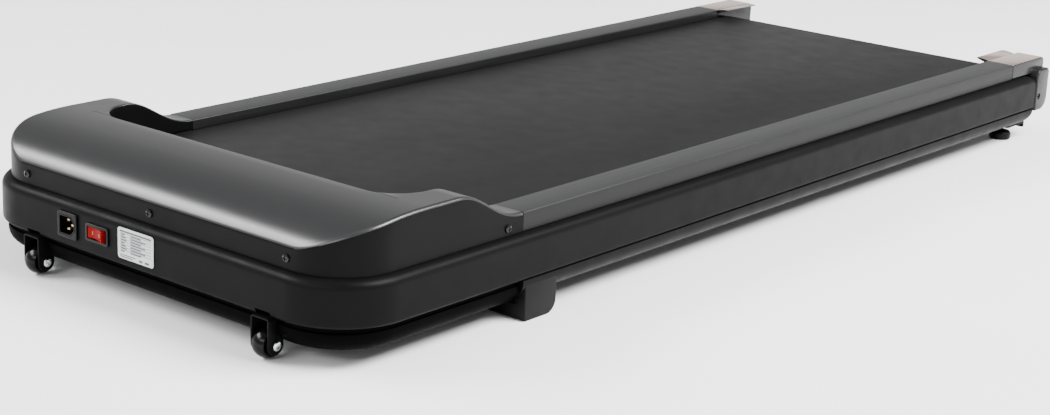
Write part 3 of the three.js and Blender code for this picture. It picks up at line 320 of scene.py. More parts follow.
class Nodes:
    """A material's node tree, with a few shorthands."""

    def __init__(self, name):
        self.material = bpy.data.materials.new(name)
        self.material.use_nodes = True
        self.tree = self.material.node_tree
        self.shader = self.tree.nodes["Principled BSDF"]
        self.coordinates = self.add("ShaderNodeTexCoord").outputs["Object"]

    def add(self, kind, **settings):
        node = self.tree.nodes.new(kind)
        for key, value in settings.items():
            setattr(node, key, value)
        return node

    def link(self, source, target):
        self.tree.links.new(source, target)

    def scaled(self, scale):
        node = self.add("ShaderNodeMapping")
        node.inputs["Scale"].default_value = scale
        self.link(self.coordinates, node.inputs["Vector"])
        return node.outputs["Vector"]

    def noise(self, scale, detail=4, stretch=(1, 1, 1)):
        node = self.add("ShaderNodeTexNoise")
        node.inputs["Scale"].default_value = scale
        node.inputs["Detail"].default_value = detail
        self.link(self.scaled(stretch), node.inputs["Vector"])
        return node.outputs["Fac"]

    def ranged(self, source, low, high, from_low=0.3, from_high=0.7):
        node = self.add("ShaderNodeMapRange")
        node.inputs["From Min"].default_value = from_low
        node.inputs["From Max"].default_value = from_high
        node.inputs["To Min"].default_value = low
        node.inputs["To Max"].default_value = high
        self.link(source, node.inputs["Value"])
        return node.outputs["Result"]

    def mixed(self, factor, first, second):
        node = self.add("ShaderNodeMix", data_type="RGBA")
        self.link(factor, node.inputs["Factor"])
        for key, value in (("A", first), ("B", second)):
            socket = next(s for s in node.inputs if s.name == key and s.type == "RGBA")
            if isinstance(value, tuple):
                socket.default_value = (*value, 1)
            else:
                self.link(value, socket)
        return next(s for s in node.outputs if s.type == "RGBA")

    def bump(self, height, distance, after=None):
        node = self.add("ShaderNodeBump")
        node.inputs["Distance"].default_value = distance
        node.inputs["Strength"].default_value = 1
        self.link(height, node.inputs["Height"])
        if after is not None:
            self.link(after, node.inputs["Normal"])
        return node.outputs["Normal"]

    def feed(self, **sources):
        """Links sources to the shader's inputs, named with underscores for spaces."""
        for key, source in sources.items():
            self.link(source, self.shader.inputs[key.replace("_", " ").title()])

    def shader_values(self, **values):
        for key, value in values.items():
            self.shader.inputs[key.replace("_", " ").title().replace("Ior", "IOR")].default_value = value


def finish(name, colour, roughness, *, metallic=0.0, specular=0.5, shade=0.12, spread=0.05,
           grain=2200, height=0.02, stretch=(1, 1, 1)):
    """A moulded, painted or machined surface: faint blotches of tone and gloss over a fine grain.

    The shade is the share by which the tone varies, and the height of the grain is in millimetres.
    """
    tone_scale, gloss_scale = 14, 43.4
    nodes = Nodes(name)
    dark = tuple(c * (1 - shade) for c in colour)
    light = tuple(c * (1 + shade) for c in colour)
    gloss = nodes.noise(gloss_scale, 5, stretch)
    nodes.feed(
        base_color=nodes.mixed(nodes.ranged(nodes.noise(tone_scale, 6), 0, 1), dark, light),
        roughness=nodes.ranged(gloss, roughness - spread, roughness + spread),
        normal=nodes.bump(nodes.noise(grain, 2, stretch), height * MM),
    )
    nodes.shader_values(metallic=metallic, specular_ior_level=specular)
    return nodes.material


def belt_material():
    """PVC walking belt: a fine diamond emboss over black, slightly dusty."""
    nodes = Nodes("walking_belt_fabric")
    waves = []
    for turn in (45, -45):
        mapping = nodes.add("ShaderNodeMapping")
        mapping.inputs["Rotation"].default_value = (0, 0, math.radians(turn))
        nodes.link(nodes.coordinates, mapping.inputs["Vector"])
        wave = nodes.add("ShaderNodeTexWave", wave_type="BANDS", bands_direction="X")
        wave.inputs["Scale"].default_value = 260
        wave.inputs["Distortion"].default_value = 0.6
        nodes.link(mapping.outputs["Vector"], wave.inputs["Vector"])
        waves.append(wave.outputs["Fac"])
    diamonds = nodes.add("ShaderNodeMath", operation="MULTIPLY")
    nodes.link(waves[0], diamonds.inputs[0])
    nodes.link(waves[1], diamonds.inputs[1])
    embossed = nodes.bump(diamonds.outputs[0], 0.05 * MM)
    dust = nodes.noise(9, 7, (1, 0.35, 1))
    clean, dusty = (0.0055, 0.0055, 0.0058), (0.0085, 0.0085, 0.009)
    nodes.feed(
        base_color=nodes.mixed(nodes.ranged(dust, 0, 1), clean, dusty),
        roughness=nodes.ranged(nodes.noise(40, 4), 0.46, 0.52),
        normal=nodes.bump(nodes.noise(1800, 3), 0.02 * MM, after=embossed),
    )
    nodes.shader_values(specular_ior_level=0.14)
    return nodes.material


def rail_material(name, dark, light, specular):
    """Extruded rail with fine lengthwise drawing lines."""
    nodes = Nodes(name)
    lines = nodes.noise(900, 3, (1, 0.012, 1))
    pores = nodes.noise(2600, 2)
    nodes.feed(
        base_color=nodes.mixed(nodes.ranged(lines, 0, 1), dark, light),
        roughness=nodes.ranged(lines, 0.36, 0.46),
        normal=nodes.bump(pores, 0.02 * MM, after=nodes.bump(lines, 0.05 * MM)),
    )
    nodes.shader_values(specular_ior_level=specular)
    return nodes.material


def wood_material():
    """Pressed fibre board under a dark lacquer."""
    nodes = Nodes("deck_board_wood")
    fibres = nodes.noise(240, 6, (1, 0.2, 1))
    binder, fibre = (0.012, 0.008, 0.005), (0.032, 0.021, 0.013)
    nodes.feed(
        base_color=nodes.mixed(nodes.ranged(fibres, 0, 1), binder, fibre),
        roughness=nodes.ranged(fibres, 0.5, 0.75),
        normal=nodes.bump(fibres, 0.1 * MM),
    )
    return nodes.material


# name: (colour, roughness, other values of finish)
FINISHES = {
    "frame_paint": ((0.0028, 0.0028, 0.003), 0.44, dict(specular=0.05, grain=1500)),
    # painted shade: a darker, flatter copy of the hood's black for its upright faces
    "skirt_painted_shade": ((0.0028, 0.0028, 0.003), 0.36, dict(specular=0.05, height=0.01)),
    "hood_plastic": ((0.015, 0.0152, 0.0158), 0.3, dict(shade=0.03, spread=0.008, height=0.003)),
    "pan_plastic": ((0.001, 0.001, 0.0011), 0.5, dict(specular=0.012)),
    "cap_plastic": ((0.014, 0.0135, 0.0135), 0.26, dict(specular=0.18, shade=0.06, height=0.004)),
    # painted reflection: a warm metallic copy of the caps' finish for their top faces
    "cap_top_painted_reflection": ((0.7, 0.56, 0.5), 0.14, dict(metallic=0.85, shade=0.06, spread=0.02, height=0.003)),
    "rubber": ((0.0035, 0.0035, 0.0036), 0.45, dict(specular=0.1, grain=1100, height=0.04)),
    "black_plastic": ((0.002, 0.002, 0.0023), 0.2, dict(specular=0.13, height=0.004)),
    "steel": ((0.42, 0.43, 0.44), 0.34, dict(metallic=1, grain=1400, stretch=(1, 0.05, 1))),
    "chrome": ((0.75, 0.76, 0.78), 0.13, dict(metallic=1, shade=0.05, spread=0.04, height=0.004)),
    "dark_screw": ((0.03, 0.03, 0.033), 0.22, dict(metallic=0.9, spread=0.04, height=0.004)),
    "brass": ((0.5, 0.38, 0.2), 0.25, dict(metallic=1, height=0.004)),
    "red_plastic": ((0.15, 0.001, 0.0006), 0.22, dict(specular=0.04, shade=0.08, height=0.004)),
    "mark_white": ((0.3, 0.14, 0.12), 0.4, dict(shade=0.04, height=0.004)),
    "plate_foil": ((0.5, 0.51, 0.52), 0.35, dict(metallic=0.2, shade=0.03, height=0.006)),
    "plate_ink": ((0.05, 0.05, 0.055), 0.5, dict(shade=0.1, height=0.004)),
    "motor_paint": ((0.012, 0.0125, 0.016), 0.35, {}),
    "cast_aluminium": ((0.48, 0.49, 0.5), 0.5, dict(metallic=0.95, grain=700, height=0.12)),
}
MATERIALS = {
    name: finish(name, colour, roughness, **others)
    for name, (colour, roughness, others) in FINISHES.items()
}
MATERIALS["rail_plastic"] = rail_material(
    "rail_plastic", (0.015, 0.0152, 0.0158), (0.02, 0.0203, 0.021), 0.22,
)
# painted shade: a darker, less glossy copy of the rail's finish for its sides
MATERIALS["rail_side_painted_shade"] = rail_material("rail_side_painted_shade", (0.006, 0.006, 0.0064), (0.0095, 0.0095, 0.01), 0.13)
MATERIALS["belt_fabric"] = belt_material()
MATERIALS["wood"] = wood_material()


def done(obj, material, body="chassis", replaces=()):
    """Gives a piece its finish, its body and the nodes it stands for."""
    obj.data.materials.clear()
    obj.data.materials.append(MATERIALS[material])
    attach(obj, body)
    if replaces:
        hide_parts(*replaces)
    return obj


# ---------------------------------------------------------------- frame tube


def tube_end_inset(z):
    """The tube's rear ends are rounded at top and bottom, seen from the side."""
    return edge_inset(z, TUBE_BOTTOM, TUBE_TOP, TUBE_END_BOTTOM, TUBE_END_TOP)


def frame_tube():
    """The bent tube in two lapped bands: the upper one all round, the lower one behind the motor bay."""
    top_round, inner_round, lap_round = 9.5 * MM, 3 * MM, 4 * MM
    levels = round_levels(BAY_TOP, TUBE_TOP, lap_round, top_round, middle=10, count=12)
    along_end = [TUBE_TOP - TUBE_END_TOP * (1 - math.sin(math.radians(8 * i))) for i in range(1, 7)]
    upper = band(
        "frame_tube_upper", sorted({*levels, *along_end}),
        lambda z: edge_inset(z, BAY_TOP, TUBE_TOP, lap_round, top_round),
        lambda z: TUBE_DEPTH - edge_inset(z, BAY_TOP, TUBE_TOP, lap_round, inner_round),
        u_stations(HALF, TUBE_FRONT, TUBE_CORNER, TUBE_REAR, 28, 12, (BAY_END, 0, TUBE_END_START)),
        tube_end_inset,
    )
    cuts = []
    for node, (body_width, body_height) in (("power_inlet", INLET_BODY), ("switch_housing", SWITCH_BODY)):
        middle = centre_of(node)
        half_width, half_height = body_width / 2 + GAP, body_height / 2 + GAP
        cuts.append(block(
            middle.x - half_width, middle.x + half_width, TUBE_FRONT - PAST, TUBE_FRONT + TUBE_DEPTH + PAST,
            middle.z - half_height, middle.z + half_height,
        ))
    room, recess, recess_depth = 2 * MM, 4.5 * MM, 9 * MM
    for side in ("left", "right"):
        lo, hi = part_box(side + "_wheel_fork")
        cuts.append(block(
            lo.x + room, hi.x - room, TUBE_FRONT - PAST, TUBE_FRONT + recess_depth,
            BAY_TOP - PAST, BAY_TOP + recess,
        ))
    done(combined(upper, cuts), "frame_paint", replaces=["frame_tube"])
    lower_bands()


def lower_bands():
    """The lower half of each side of the tube, a little narrower than the upper one."""
    lap, low_round, top_round = 0.45 * MM, 17 * MM, 0.6 * MM
    inner_low, inner_top = 3 * MM, 0.2 * MM
    top = BAY_TOP - 0.1 * MM
    levels = round_levels(TUBE_BOTTOM, top, low_round, top_round, middle=2, count=10)
    for side, name in ((-1, "left"), (1, "right")):
        rings = []
        for y in (BAY_END, 0, TUBE_END_START, TUBE_REAR):
            ring = []
            for z in levels:
                inset = lap + edge_inset(z, TUBE_BOTTOM, top, low_round, top_round)
                ring.append((side * (HALF - inset), y - (tube_end_inset(z) if y == TUBE_REAR else 0), z))
            for z in reversed(levels):
                inset = TUBE_DEPTH - edge_inset(z, TUBE_BOTTOM, top, inner_low, inner_top)
                ring.append((side * (HALF - inset), y - (tube_end_inset(z) if y == TUBE_REAR else 0), z))
            rings.append(ring)
        lower = loft(name + "_frame_lower", rings, caps=False)
        done(joined(lower, [ladder(rings, len(levels))]), "frame_paint")


def foot_brackets():
    """The bent plates under the tube's rear ends that the levelling feet screw into."""
    sheet, width, flange, length = 4 * MM, 36 * MM, 9 * MM, 46 * MM
    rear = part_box("frame_tube")[1].y
    front = rear - length
    high = TUBE_BOTTOM + 0.5 * MM
    for side in ("left", "right"):
        middle = centre_of(side + "_levelling_foot")
        section = rounded([
            (front, high, 0), (front, high - sheet, 1.5 * MM), (rear - sheet, high - sheet, 1 * MM),
            (rear - sheet, high - flange, 0), (rear, high - flange, 0), (rear, high, 3.5 * MM),
        ])
        plate = prism(side + "_foot_bracket", section, "x", middle.x - width / 2, middle.x + width / 2)
        hole = pin("z", (middle.x, middle.y, 0), 4.4 * MM, 0, 70 * MM)
        done(softened(combined(plate, [hole]), 0.4 * MM, 2), "frame_paint")


# ---------------------------------------------------------------- hood


def bezier_height(controls, y):
    """Height on a cubic in (y, z) at a given y, found by halving."""
    def at(t, k):
        a, b, c, d = (p[k] for p in controls)
        s = 1 - t
        return a * s ** 3 + 3 * b * s * s * t + 3 * c * s * t * t + d * t ** 3
    low, high = 0.0, 1.0
    for _ in range(40):
        middle = (low + high) / 2
        if at(middle, 0) < y:
            low = middle
        else:
            high = middle
    return at((low + high) / 2, 1)


class Hood:
    """The hood's top as a height over the plan, with its edges rounded by how near they are."""

    corner = 62 * MM
    wall = 2.2 * MM
    ear_width = RAIL_OUT - RAIL_IN
    nose = 105 * MM
    lip = 20.2 * MM
    back = 103 * MM
    lean = 25 * MM
    slope = 89 * MM
    notch_round = 42 * MM
    foot_round = 8 * MM
    belt_gap = 4 * MM
    edge_round = 1.3 * MM
    side_extra = 2.4 * MM
    back_round = 1.6 * MM

    def __init__(self):
        self.front = HOOD_LO.y
        self.rear = HOOD_HI.y
        self.bottom = TUBE_TOP + GAP
        lip_top = self.bottom + self.lip
        top = HOOD_HI.z
        self.nose_curve = [
            (0, lip_top), (8 * MM, lip_top + 16.4 * MM), (40 * MM, top), (self.nose, top),
        ]
        start = self.rear - self.front - self.slope
        self.ear_curve = [
            (start, top), (start + 32 * MM, top), (start + 50 * MM, RAIL_HI.z),
            (self.rear - self.front, RAIL_HI.z),
        ]
        self.notch_x = RAIL_IN - self.notch_round
        self.notch_y = self.front + self.back + self.notch_round
        self.back_y = self.front + self.back
        self.corner_y = self.front + self.corner
        self.flat_half = RAIL_OUT - self.corner
        self.place_rows()

    def place_rows(self):
        """Where the rows and columns of points run, close together where the top is rounded."""
        columns, between, notch_steps, ear_steps, edge_steps = 30, 4, 12, 26, 4
        self.columns = [self.flat_half * (2 * i / columns - 1) for i in range(columns + 1)]
        self.edge_steps = [
            self.back_round * (1 - math.sin(math.radians(90 * i / edge_steps)))
            for i in range(edge_steps + 1)
        ]
        self.before_back = [self.back_y - step for step in self.edge_steps[:-1]]
        room = self.before_back[0] - self.corner_y
        self.between = [self.corner_y + room * i / between for i in range(1, between)]
        self.notch_angles = [math.radians(90 * i / notch_steps) for i in range(notch_steps + 1)]
        self.notch_ys = [self.notch_y - self.notch_round * math.cos(angle) for angle in self.notch_angles]
        ear = self.rear - self.notch_y
        self.ear_ys = [self.notch_y + ear * i / ear_steps for i in range(1, ear_steps)]

    def profile(self, y):
        """Height of the crown, seen from the side."""
        along = y - self.front
        if along <= self.nose:
            return bezier_height(self.nose_curve, max(0, along))
        if along <= self.ear_curve[0][0]:
            return HOOD_HI.z
        return bezier_height(self.ear_curve, min(along, self.rear - self.front))

    def from_notch(self, x, y):
        """Distance to the open space between the ears."""
        x = abs(x)
        if x < self.notch_x:
            return self.front + self.back - y
        if y < self.notch_y:
            return math.hypot(x - self.notch_x, y - self.notch_y) - self.notch_round
        return x - RAIL_IN

    def top(self, x, y, inwards, radius):
        """Height of the top at a place `inwards` of the outline, whose edge has the given radius."""
        height = self.profile(y)
        drop = arc_drop(radius, inwards) if inwards < radius else 0
        near = max(0, self.from_notch(x, y))
        if near < self.back_round:
            drop = max(drop, arc_drop(self.back_round, near))
        return height - drop

    def inner_height(self, x, y):
        """Height of the top away from the outline."""
        return self.top(x, y, 1, 0)

    def edge_radius(self, normal):
        """Crisp along the front, softer round the corners and the sides."""
        side = abs(normal.x)
        blend = side * side * (3 - 2 * side)
        return self.edge_round + self.side_extra * blend

    def notch_edge_x(self, y):
        """Where the rounded corner of the open space starts, at a given y."""
        if y <= self.front + self.back:
            return self.notch_x
        if y >= self.notch_y:
            return RAIL_IN
        return self.notch_x + math.sqrt(max(0, self.notch_round ** 2 - (self.notch_y - y) ** 2))


class Skin:
    """Points and faces gathered row by row. Points in the same place are one."""

    def __init__(self):
        self.verts = []
        self.faces = []
        self.numbers = {}

    def vertex(self, x, y, z):
        """The number of the point at a place."""
        key = (round(x * 1e7), round(y * 1e7), round(z * 1e7))
        if key not in self.numbers:
            self.numbers[key] = len(self.verts)
            self.verts.append((x, y, z))
        return self.numbers[key]

    def cover(self, rows):
        """Faces between neighbouring rows of points."""
        for a, b in zip(rows, rows[1:]):
            for i in range(len(a) - 1):
                distinct = tuple(dict.fromkeys((a[i], a[i + 1], b[i + 1], b[i])))
                if len(distinct) > 2:
                    self.faces.append(distinct)


def hood_band(hood, skin):
    """The skirt and the outer band of the top, swept round the front and along the ears."""
    side_ys = [*hood.between, *hood.before_back, *hood.notch_ys, *hood.ear_ys]
    depths_beyond = [v * MM for v in (4.5, 6, 8, 10.5, 13.5, 17, 21, 25, 29, 32.5)]
    inner_edge = [hood.ear_width - step for step in hood.edge_steps]
    steps = 6
    rows = []
    for point, normal in u_stations(RAIL_OUT, hood.front, hood.corner, hood.rear, 24, 30, side_ys):
        radius = hood.edge_radius(normal)
        skirt = hood.profile(point.y) - radius - hood.bottom
        row = [skin.vertex(point.x, point.y, hood.bottom + skirt * i / steps) for i in range(steps + 1)]
        rounding = [radius * (1 - math.cos(math.radians(90 * i / steps))) for i in range(1, steps + 1)]
        for depth in [*rounding, *depths_beyond, *inner_edge]:
            spot = point - normal * depth
            row.append(skin.vertex(spot.x, spot.y, hood.top(spot.x, spot.y, depth, radius)))
        rows.append(row)
    skin.cover(rows)


def hood_middle(hood, skin):
    """The middle of the top, row by row from the band's inner edge to the rear edge."""
    arcs = 24
    ring = hood.corner - hood.ear_width
    front_y = hood.front + hood.ear_width
    row_ys = [hood.corner_y - ring * math.cos(math.radians(90 * i / arcs)) for i in range(arcs + 1)]
    rows = []
    for y in [*row_ys, *hood.between, *hood.before_back, hood.back_y]:
        reach = hood.flat_half + math.sqrt(max(0, ring ** 2 - max(0, hood.corner_y - y) ** 2))
        on_front = abs(y - front_y) < 1e-9
        ends = (hood.columns[0], hood.columns[-1]) if on_front else (-reach, reach)
        rows.append([
            skin.vertex(x, y, hood.inner_height(x, y)) for x in (ends[0], *hood.columns, ends[1])
        ])
    skin.cover(rows)


def hood_corners(hood, skin):
    """The top beside the rounded corners of the open space."""
    shares = [0, 0.08, 0.25, 0.5, 1]
    for side in (-1, 1):
        rows = []
        for y in hood.notch_ys:
            start = hood.notch_edge_x(y)
            near = min(RAIL_IN - start, 2 * hood.back_round)
            xs = [*(start + near * share for share in shares), RAIL_IN]
            rows.append([skin.vertex(side * x, y, hood.inner_height(x, y)) for x in xs])
        skin.cover(rows)


def hood_wall(hood, skin):
    """The wall round the open space, leaning back behind the top and upright along the ears."""
    steps = 8
    foot_x = RAIL_IN - hood.foot_round
    foot_y = hood.back_y + hood.lean
    low_y = foot_y + hood.foot_round
    rim, foot = [], []
    for x in hood.columns:
        rim.append((x, hood.back_y))
        foot.append((x * foot_x / hood.flat_half, foot_y, BELT_TOP + hood.belt_gap))
    for angle, y in list(zip(hood.notch_angles, hood.notch_ys))[1:]:
        rim.append((hood.notch_edge_x(y), y))
        foot.append((
            foot_x + hood.foot_round * math.sin(angle),
            foot_y + hood.foot_round * (1 - math.cos(angle)),
            BELT_TOP + hood.belt_gap * (1 - angle / hood.notch_angles[-1]),
        ))
    for y in [*hood.ear_ys, hood.rear]:
        rim.append((RAIL_IN, y))
        share = (y - hood.notch_y) / (hood.rear - hood.notch_y)
        foot.append((RAIL_IN, low_y + (hood.rear - low_y) * share, BELT_TOP))
    for side in (-1, 1):
        rows = []
        for (x, y), low in zip(rim, foot):
            high = Vector((x, y, hood.inner_height(x, y)))
            line = [high.lerp(Vector(low), i / steps) for i in range(steps + 1)]
            rows.append([skin.vertex(side * spot.x, spot.y, spot.z) for spot in line])
        # the stretch behind the top belongs to the left side's rows
        skin.cover(rows if side < 0 else rows[len(hood.columns) - 1:])


def motor_hood():
    """One skin of skirt, top and inner wall, thickened inwards."""
    hood = Hood()
    skin = Skin()
    hood_band(hood, skin)
    hood_middle(hood, skin)
    hood_corners(hood, skin)
    hood_wall(hood, skin)
    obj = made("motor_hood_shell", skin.verts, skin.faces, sharp=24)
    close_ear_ends(obj, hood.rear)
    thickness = obj.modifiers.new("thickness", "SOLIDIFY")
    thickness.thickness = hood.wall
    thickness.offset = -1
    thickness.use_rim = True
    combined(obj, [])
    done(obj, "hood_plastic", replaces=["motor_hood"])
    # painted shade on the hood's upright faces
    paint_skirt_shade(obj, hood)


def close_ear_ends(obj, rear):
    """Closes each ear's open end with one flat face."""
    bm = bmesh.new()
    bm.from_mesh(obj.data)
    for side in (-1, 1):
        loop = [
            v for v in bm.verts
            if abs(v.co.y - rear) < 1e-6 and v.co.x * side > 0 and v.is_boundary
        ]
        middle = sum((v.co for v in loop), Vector()) / len(loop)
        loop.sort(key=lambda v: math.atan2(v.co.z - middle.z, (v.co.x - middle.x) * side))
        bm.faces.new(loop)
    bm.to_mesh(obj.data)
    bm.free()
    tidied(obj, 24)


def repainted(obj, material, chosen):
    """Gives the chosen faces of a piece a second finish."""
    obj.data.materials.append(MATERIALS[material])
    for face in obj.data.polygons:
        if chosen(face):
            face.material_index = 1


def paint_skirt_shade(obj, hood):
    """Painted shade: the upright skirt, the ear sides and the lower inner wall round the open space get a
    darker, flatter black than the satin top.
    """
    def upright(face):
        middle = face.center
        on_edge = abs(face.normal.z) < 0.3 and (
            abs(middle.x) > RAIL_OUT - hood.corner or middle.y < hood.front + hood.corner
        )
        upright_front = face.normal.y < -0.9 and abs(face.normal.z) < 0.2
        inside = hood.from_notch(middle.x, middle.y) < 1e-4 and abs(face.normal.z) < 0.9
        return on_edge or upright_front or (inside and middle.z < hood.profile(middle.y) - 2 * MM)

    # the chosen faces get the painted shade
    repainted(obj, "skirt_painted_shade", upright)


# ---------------------------------------------------------------- belly pan


def belly_pan():
    """The tray under the motor bay: a recessed rim, a step, an upright wall and a rounded bottom edge."""
    inset, rim_inset, rim_height = 5 * MM, 7.5 * MM, 5 * MM
    wall, bottom_round, step_round = 2.5 * MM, 15 * MM, 0.9 * MM
    bottom = PAN_LO.z
    ledge = PAN_HI.z - rim_height
    reach = 24 * MM
    middle = (inset + bottom_round, bottom + bottom_round)
    outer = [(reach, bottom), *arc(middle, bottom_round, 270, 180, 10)]
    outer += arc((inset + step_round, ledge - step_round), step_round, 180, 90, 4)
    outer += [(rim_inset, ledge), (rim_inset, PAN_HI.z)]
    inner = [(rim_inset + wall, PAN_HI.z), (rim_inset + wall, ledge - wall), (inset + wall, ledge - wall)]
    inner += [*arc(middle, bottom_round - wall, 180, 270, 8), (reach, bottom + wall)]
    rear = PAN_HI.y
    half_way = (rear + TUBE_FRONT) / 2
    rings = [
        [(*(point - normal * depth), z) for depth, z in outer + inner]
        for point, normal in u_stations(HALF, TUBE_FRONT, TUBE_CORNER, rear, 24, 10, [half_way])
    ]
    shell = loft("belly_pan_shell", rings)
    plan = [
        tuple(point - normal * (reach - MM))
        for point, normal in u_stations(HALF, TUBE_FRONT, TUBE_CORNER, rear, 24, 10)
    ]
    floor_sheet = prism("pan_floor", plan, "z", bottom, bottom + wall)
    half_back = HALF - inset - wall
    back = block(-half_back, half_back, rear - wall, rear, bottom, PAN_HI.z - GAP)
    shell = combined(shell, [floor_sheet, back], "UNION")
    cuts = []
    behind_fork = 5 * MM
    for side in ("left", "right"):
        fork_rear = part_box(side + "_wheel_fork")[1].y
        lo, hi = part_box(side + "_wheel_bolt")
        cuts.append(block(
            lo.x - MM, hi.x + MM, TUBE_FRONT - PAST, fork_rear + behind_fork, 0, PAN_HI.z + PAST,
        ))
    vents, pitch, length, width, end_round = 5, 10 * MM, 70 * MM, 4 * MM, 1.9 * MM
    first = HOOD_LO.y + 110 * MM
    for i in range(vents):
        front = first + i * pitch
        slot = rectangle(-length / 2, front, length / 2, front + width, end_round)
        cuts.append(prism("vent", slot, "z", 0, bottom + 2 * wall))
    done(combined(shell, cuts), "pan_plastic", replaces=["belly_pan"])


# ---------------------------------------------------------------- rails and belt


def side_rails():
    """The step-on rails: upside-down channels over the tube, with painted shade, a darker and less glossy
    finish, along their sides.
    """
    wall, edge, end_edge = 2.5 * MM, 1.6 * MM, 0.5 * MM
    inner_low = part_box("deck_board")[1].z + 2 * GAP
    for side, name in ((-1, "left"), (1, "right")):
        section = rounded([
            (RAIL_OUT, RAIL_LO.z, end_edge), (RAIL_OUT, RAIL_HI.z, edge), (RAIL_IN, RAIL_HI.z, edge),
            (RAIL_IN, inner_low, end_edge), (RAIL_IN + wall, inner_low, end_edge),
            (RAIL_IN + wall, RAIL_HI.z - wall, MM), (RAIL_OUT - wall, RAIL_HI.z - wall, MM),
            (RAIL_OUT - wall, RAIL_LO.z, end_edge),
        ], 5)
        outline = [(side * x, z) for x, z in section]
        rail = prism(name + "_rail", outline, "y", RAIL_LO.y, RAIL_HI.y, sharp=50)
        done(rail, "rail_plastic", replaces=[name + "_side_rail"])
        # painted shade on the side and underside faces
        repainted(rail, "rail_side_painted_shade", lambda face: face.normal.z < 0.4)


def walking_belt():
    """One endless loop round both rollers."""
    front, rear = centre_of("front_roller"), centre_of("rear_roller")
    thickness, steps = 1.6 * MM, 32
    outer = BELT_TOP - front.z
    inner = outer - thickness
    loop = []
    for centre, start in ((front, 90), (rear, 270)):
        loop += [(centre, start + 180 * i / steps) for i in range(steps + 1)]
    rings = []
    for centre, angle in loop:
        direction = Vector((0, math.cos(math.radians(angle)), math.sin(math.radians(angle))))
        ring = []
        for radius, x in ((outer, BELT_LO.x), (outer, BELT_HI.x), (inner, BELT_HI.x), (inner, BELT_LO.x)):
            spot = Vector((0, centre.y, centre.z)) + direction * radius
            ring.append((x, spot.y, spot.z))
        rings.append(ring)
    rings.append(rings[0])
    belt = loft("belt_loop", rings, sharp=40, caps=False)
    belt = softened(belt, 0.35 * MM, 2, over=60)
    done(belt, "belt_fabric", replaces=["walking_belt"])


# ---------------------------------------------------------------- screws and bolts


def cross_head(name, radius, height, shank, length, recess=0.62, dome=0.55):
    """A pan-head screw along +Z with a cross recess, its head's seat at the origin.

    The recess is given as a share of the head's radius, and the dome as a share of its height.
    """
    rim = height * (1 - dome)
    profile = [(0, -length), (shank, -length), (shank, 0), (radius, 0), (radius, rim)]
    for degrees in (18, 36, 54, 72):
        angle = math.radians(degrees)
        profile.append((radius * math.cos(angle), rim + height * dome * math.sin(angle)))
    profile.append((0, height))
    head = turned(name, profile, "z", (0, 0, 0), 32)
    reach, width = radius * recess, radius * 0.17
    floor_z, above = height * 0.3, height * 1.5
    arms = [block(-a, a, -b, b, floor_z, above) for a, b in ((reach, width), (width, reach))]
    return combined(head, arms, sharp=28)


def aimed(obj, direction, place):
    """Turns a piece made along +Z to look along `direction` and moves it to its place."""
    turn = Vector((0, 0, 1)).rotation_difference(Vector(direction)).to_matrix().to_4x4()
    obj.data.transform(Matrix.Translation(Vector(place)) @ turn)
    return obj


def screws():
    """The hood's five screws and the one in the side of each end cap."""
    radius, height, shank, length = 3.9 * MM, 1.9 * MM, 2 * MM, 9 * MM
    outwards = {"left": (-1, 0, 0), "right": (1, 0, 0)}
    nodes = {f"hood_screw_front_{place}": (0, -1, 0) for place in ("left", "middle", "right")}
    nodes |= {"hood_screw_" + side: direction for side, direction in outwards.items()}
    nodes |= {side + "_cap_screw": direction for side, direction in outwards.items()}
    for node, direction in nodes.items():
        lo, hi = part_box(node)
        outward = Vector(direction)
        half = abs((hi - lo).dot(outward)) / 2
        seat = centre_of(node) + outward * (half - height)
        piece = cross_head(node + "_head", radius, height, shank, length)
        done(aimed(piece, direction, seat), "dark_screw", replaces=[node])


# ---------------------------------------------------------------- transport wheels


def wheels():
    """Crowned wheels with a dished face round the hub, each in its fork."""
    crown, edge, hub, dish = 2 * MM, 0.3 * MM, 5.5 * MM, 1.6 * MM
    dish_outer, dish_inner = 9.6 * MM, 8.8 * MM
    for side in ("left", "right"):
        lo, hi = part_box(side + "_wheel")
        middle = (lo + hi) / 2
        radius, half = (hi.z - lo.z) / 2, (hi.x - lo.x) / 2
        tread = [(radius - crown - edge, -half)]
        tread += [(radius - crown * (i / 8) ** 2, half * i / 8) for i in range(-7, 8)]
        tread.append((radius - crown - edge, half))
        right_face = [
            (dish_outer, half), (dish_inner, half - dish), (hub + MM, half - dish),
            (hub, half), (AXLE_HOLE, half),
        ]
        left_face = [(r, -h) for r, h in reversed(right_face)]
        wheel = turned(side + "_wheel_tyre", left_face + tread + right_face, "x", middle, 64, closed=True)
        done(wheel, "black_plastic", side + "_wheel_body", [side + "_wheel"])
        wheel_fork(side, middle)
        wheel_bolt(side, middle)


def wheel_fork(side, axle):
    """A bent steel U over the wheel, its cheeks rounded at the bottom."""
    node = side + "_wheel_fork"
    lo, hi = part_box(node)
    sheet, bend = 2 * MM, 3 * MM
    section = rounded([
        (lo.x, lo.z - PAST), (lo.x + sheet, lo.z - PAST), (lo.x + sheet, hi.z - sheet, bend - sheet),
        (hi.x - sheet, hi.z - sheet, bend - sheet), (hi.x - sheet, lo.z - PAST), (hi.x, lo.z - PAST),
        (hi.x, hi.z, bend), (lo.x, hi.z, bend),
    ])
    half = (hi.y - lo.y) / 2
    middle = (lo.y + half, lo.z + half)
    cheek = [(lo.y, hi.z + PAST), *arc(middle, half, 180, 360, 20), (hi.y, hi.z + PAST)]
    fork = prism(side + "_fork_sheet", section, "y", lo.y - PAST, hi.y + PAST)
    outline = prism("cheek", cheek, "x", lo.x - PAST, hi.x + PAST)
    fork = combined(fork, [outline], "INTERSECT")
    fork = combined(fork, [pin("x", axle, AXLE_HOLE, -20 * MM, 20 * MM, 24)])
    done(softened(fork, 0.3 * MM, 2), "frame_paint", replaces=[node])


